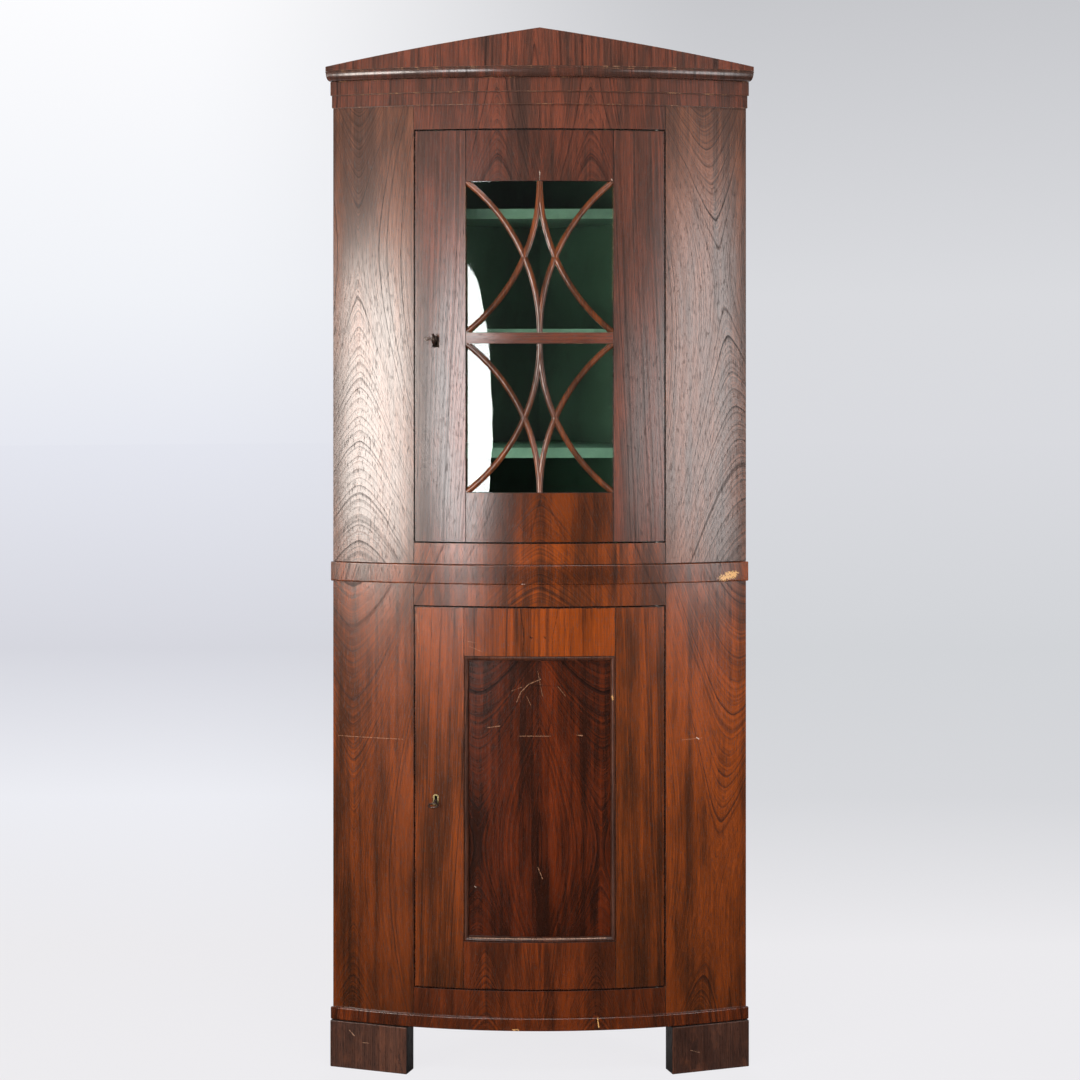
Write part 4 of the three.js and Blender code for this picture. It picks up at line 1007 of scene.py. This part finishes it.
def glazingBar(name, bottom, top, side, upright):
    # a beaded bar swept along its arc, a little too long at both ends; over half width w and height h of the
    # opening the arc's radius is (w^2 + h^2) / 2w
    b = barSize
    height = top - bottom
    halfWidth = glazingAngle * faceR
    radius = (halfWidth ** 2 + height ** 2) / (2 * halfWidth)
    spare = b["spare"] / radius
    over = np.linspace(math.pi, 0, 13)
    offset = np.concatenate([[-b["width"] / 2] * 2, b["bead"] / 2 * np.cos(over), [b["width"] / 2] * 2])
    depth = np.concatenate([[b["back"], b["shoulder"]], b["spring"] - (b["spring"] - b["crown"]) * np.sin(over),
                            [b["shoulder"], b["back"]]])
    turn = np.linspace(-spare, math.asin(height / radius) + spare, b["steps"])[:, None]
    u = side * ((radius + offset) * np.cos(turn) - radius)
    rise = (radius + offset) * np.sin(turn)
    return solidFromGrid(name, bowPoint(faceR - depth, u / faceR, bottom + rise if upright else top - rise))


barWood = frameWood("glazingBarWood", heart=(0.3, 2.4), seed=44.0, look=barLook)
for name, (bottom, top) in paneOpenings.items():
    bars = glazingBar(name + "_glazing_lattice", bottom, top, 1, True)
    others = ((1, False), (-1, True), (-1, False))
    carve(bars, [glazingBar("bar", bottom, top, side, upright) for side, upright in others], operation="UNION")
    end = glazingAngle - glueGap / faceR
    room = bowSolid("cutter", rectangle(faceR - barSize["back"], faceR, bottom + glueGap, top - glueGap), -end, end)
    carve(bars, [room], operation="INTERSECT")
    for material in barWood:
        bars.data.materials.append(material)
    place(bars, "upper_door", name + "_glazing_bars", "veneer")
print("doors made")


# Keys: a turned shank with a collar, a bow of round wire, and a bit inside the lock
keySize = dict(bitDepth=0.018, reach=0.012, bowWidth=0.022, bowLength=0.020, wire=0.0018, bowFlatness=0.85,
               swing=math.radians(40), shank=0.0022, collar=0.0036, collarStart=0.003, collarLength=0.004,
               knob=0.0008, knobStart=0.0006, knobLength=0.0022, tip=0.0032, tipBevel=0.0004,
               bit=(0.0024, 0.005, 0.0085), droop=math.radians(18))
wireLoop = dict(radius=0.0033, wire=0.0010, middle=0.0165, stemStart=0.0008, stemLength=0.0125, stemWire=0.0011)


def turnedRod(profile, sides=28):
    # a profile of (distance along y, radius) turned about the y axis
    along, radius = np.array(profile, dtype=float).T[:, :, None]
    turn = np.linspace(0, 2 * math.pi, sides, endpoint=False)
    return np.stack([radius * np.cos(turn), along + 0 * turn, radius * np.sin(turn)], axis=-1)


def wireRing(halfX, halfY, wire, steps=72, sides=14):
    # a circle of the wire's radius carried round an ellipse in the x-y plane, square to it
    t = np.linspace(0, 2 * math.pi, steps, endpoint=False)[:, None]
    p = np.linspace(0, 2 * math.pi, sides, endpoint=False)[None, :]
    outX, outY = halfY * np.cos(t), halfX * np.sin(t)
    size = np.hypot(outX, outY)
    return np.stack([halfX * np.cos(t) + wire * np.cos(p) * outX / size,
                     halfY * np.sin(t) + wire * np.cos(p) * outY / size,
                     wire * np.sin(p) + 0 * t], axis=-1)


def keyPiece(name, z, bowTurn, droop, hasLoop):
    k = keySize
    face = -k["bitDepth"]
    neck = face - k["reach"]
    swell = np.linspace(0, math.pi, 9)
    share = np.linspace(0, 1, 9)
    collar = np.column_stack([face - k["collarStart"] - k["collarLength"] * share,
                              k["shank"] + (k["collar"] - k["shank"]) * np.abs(np.sin(swell)) ** 0.5])
    knob = np.column_stack([neck + k["knobStart"] - k["knobLength"] * share, k["shank"] + k["knob"] * np.sin(swell)])
    tip = [(k["tip"], k["shank"] - k["tipBevel"]), (k["tip"] - k["tipBevel"], k["shank"])]
    shank = turnedRod(np.vstack([tip, collar, knob]))
    bow = wireRing(k["bowWidth"] / 2 - k["wire"], k["bowLength"] / 2 - k["wire"], k["wire"])
    bow = bow * (1, 1, k["bowFlatness"]) + (0, neck - k["bowLength"] / 2, 0)
    width, depth, length = k["bit"]
    bit = boxGrid((-width / 2, -depth / 2, 0), (width / 2, depth / 2, length))
    grids = [(shank, False), (turned(bow, 1, bowTurn), True), (turned(bit, 1, k["swing"]), False)]
    if hasLoop:
        # a loop of thin wire twisted on at the neck
        w = wireLoop
        ring = turned(wireRing(w["radius"], w["radius"], w["wire"], 40, 10), 0, math.pi / 2)
        stem = turnedRod([(0.0, w["stemWire"]), (w["stemLength"], w["wire"])], 12)[..., [1, 0, 2]]
        grids += [(ring + (-w["middle"], neck, 0), True), (stem * (-1, 1, 1) + (-w["stemStart"], neck, 0), False)]
    made = [solidFromGrid(name, onFace(turned(grid, 0, droop) + (0, k["bitDepth"], 0), keyAngle, z), [ironMetal],
                          closed) for grid, closed in grids]
    carve(made[0], made[1:], operation="UNION")
    return made[0]


place(keyPiece("iron_upper_key", heights["upperKey"], math.pi / 2, 0.0, True), "upper_key", "upper_key", "iron")
place(keyPiece("iron_lower_key", heights["lowerKey"], 0.0, keySize["droop"], False), "lower_key", "lower_key", "iron")
print("keys made")

# The pieces carried over as they are, found by a part of their names
nodeFinish = {"back_board": wallPaint, "bottom_board": wallPaint, "top_board": wallPaint, "shelf": shelfPaint,
              "rear_foot": footWood, "lock_case": ironMetal, "lock_bolt": steelMetal, "pivot": steelMetal,
              "upper_keyhole_liner": sootIron, "lower_keyhole_liner": brassMetal}
for nodeName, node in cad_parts.items():
    for part, material in nodeFinish.items():
        if part in nodeName:
            node.data.materials.clear()
            node.data.materials.append(material)
print("carried pieces finished")


# Camera: level, at the height of the upper keyhole, its frame shifted down
cameraSizes = dict(place=(0.0007, -4.6568, 1.4365), sensor=36, lens=74.63, shiftDown=0.176, reach=50)
camera = addObject("camera", bpy.data.cameras.new("camera"))
camera.location = cameraSizes["place"]
camera.rotation_euler = (math.pi / 2, 0, 0)
camera.data.sensor_width = cameraSizes["sensor"]
camera.data.lens = cameraSizes["lens"]
camera.data.shift_y = -cameraSizes["shiftDown"]
camera.data.clip_end = cameraSizes["reach"]
bpy.context.scene.camera = camera

# Lamps: place, point looked at, width, height and watts
lamps = {
    "leftSoftbox": ((-2.25, -2.55, 1.23), (-0.35, -0.2, 1.19), 1.05, 0.95, 58),
    "leftCard": ((-1.15, -3.2, 1.2), (-0.15, -0.2, 1.2), 0.92, 1.06, 27),
    "rightSoftbox": ((2.3, -2.6, 1.3), (0.35, -0.2, 1.25), 1.0, 1.25, 25),
    "rightCard": ((1.65, -3.1, 1.18), (0.25, -0.2, 1.2), 0.75, 0.62, 5),
    "topFill": ((0.3, -3.2, 5.0), (0, 0, 0.8), 2.8, 1.8, 125),
    "backFill": ((0.0, 3.4, 3.2), (0, 0, 0.9), 2.6, 1.6, 70),
}
for name, (location, target, width, height, power) in lamps.items():
    lamp = bpy.data.lights.new(name, "AREA")
    lamp.shape = "ELLIPSE" if name == "leftCard" else "RECTANGLE"
    lamp.size, lamp.size_y = width, height
    lamp.energy = power
    lamp.color = (1.0, 0.93, 0.86) if name == "leftSoftbox" else (1, 1, 1)
    obj = addObject(name, lamp)
    obj.location = location
    x, y, z = np.subtract(target, location)
    obj.rotation_euler = (math.pi / 2 + math.atan2(z, math.hypot(x, y)), 0, math.atan2(-x, y))

# World: pale behind the cupboard and wherever the camera looks, dim elsewhere
studio = dict(dim=0.055, split=(-0.17, 0.09), skyRange=(-0.05, 0.16), mirrorAhead=(0.0, 0.4), floorRadius=30,
              nearEdge=5.4, widest=2.0, mirrorFade=(-0.3, 0.25), darkFloor=(0.01, 0.01, 0.01, 1),
              shadowless=(0.45, 0.9, 1.0, 0.93), floorColour=srgb(233, 232, 235))


def shades(*stops):
    return [(position, srgb(*colour)) for position, *colour in stops]


skyLeft = shades((0.0, 229, 231, 240), (0.35, 241, 243, 248), (1.0, 253, 253, 255))
skyRight = shades((0.0, 217, 218, 223), (0.35, 218, 219, 223), (1.0, 198, 199, 203))
floorLeft = shades((0.15, 229, 231, 240), (0.5, 214, 215, 223), (0.75, 239, 240, 246), (1.0, 238, 237, 240))
floorRight = shades((0.15, 217, 218, 223), (0.5, 210, 212, 216), (0.75, 216, 217, 221), (1.0, 238, 237, 240))
world = bpy.data.worlds.new("studio")
bpy.context.scene.world = world
world.use_nodes = True
kit = nodeTools(world.node_tree)
sideways, forward, upward = kit.split(kit.add("ShaderNodeTexCoord"))
skyHeight = kit.fit(upward, *studio["skyRange"])
leftToRight = kit.smooth(sideways, *studio["split"])
pale = kit.blend(leftToRight, kit.ramp(skyHeight, skyLeft), kit.ramp(skyHeight, skyRight))
ray, mirrored = kit.rays()
shows = kit.most(ray["Is Camera Ray"], kit.times(mirrored, kit.smooth(forward, *studio["mirrorAhead"])))
dim = kit.add("ShaderNodeBackground", (1, 1, 1, 1), studio["dim"])
bright = kit.add("ShaderNodeBackground", pale, 1.0)
kit.add("ShaderNodeOutputWorld", kit.mixShader(shows, dim, bright))

# Floor: a wide disc, pale to the camera, which still takes a little of the shadow
floorMaterial, kit = newMaterial("paleFloor")
x, y, z = kit.split(kit.own())
# nearness seen from the front: 1 at the cupboard's feet, 0 far off
away = kit.plus(y, -cameraSizes["place"][1])
nearness = kit.over(studio["nearEdge"], kit.most(away, studio["nearEdge"]))
aside = kit.over(x, kit.most(away, studio["widest"]))
tone = kit.blend(kit.smooth(aside, *studio["split"]), kit.ramp(nearness, floorLeft), kit.ramp(nearness, floorRight))
lit = kit.principled({"Base Color": studio["floorColour"], "Roughness": 0.7})
glow = kit.add("ShaderNodeEmission", tone, 1.0)
ray, mirrored = kit.rays()
# polish and glass see the floor dark in front, where no lamp reaches, and pale behind
mirrorTone = kit.blend(kit.smooth(y, *studio["mirrorFade"]), studio["darkFloor"], tone)
glowMirror = kit.add("ShaderNodeEmission", mirrorTone, 1.0)
share = kit.times(ray["Is Camera Ray"], kit.smooth(nearness, *studio["shadowless"]))
kit.output(kit.mixShader(mirrored, kit.mixShader(share, lit, glow), glowMirror))
floorTurn = np.linspace(0, 2 * math.pi, 96, endpoint=False)
rim = np.column_stack([np.cos(floorTurn), np.sin(floorTurn), 0 * floorTurn]) * studio["floorRadius"]
floorMesh = bpy.data.meshes.new("floor")
floorMesh.from_pydata(rim.tolist(), [], [list(range(len(rim)))])
floorMesh.materials.append(floorMaterial)
addObject("floor", floorMesh)
bpy.context.scene.view_settings.view_transform = "Standard"

print("scene ready")
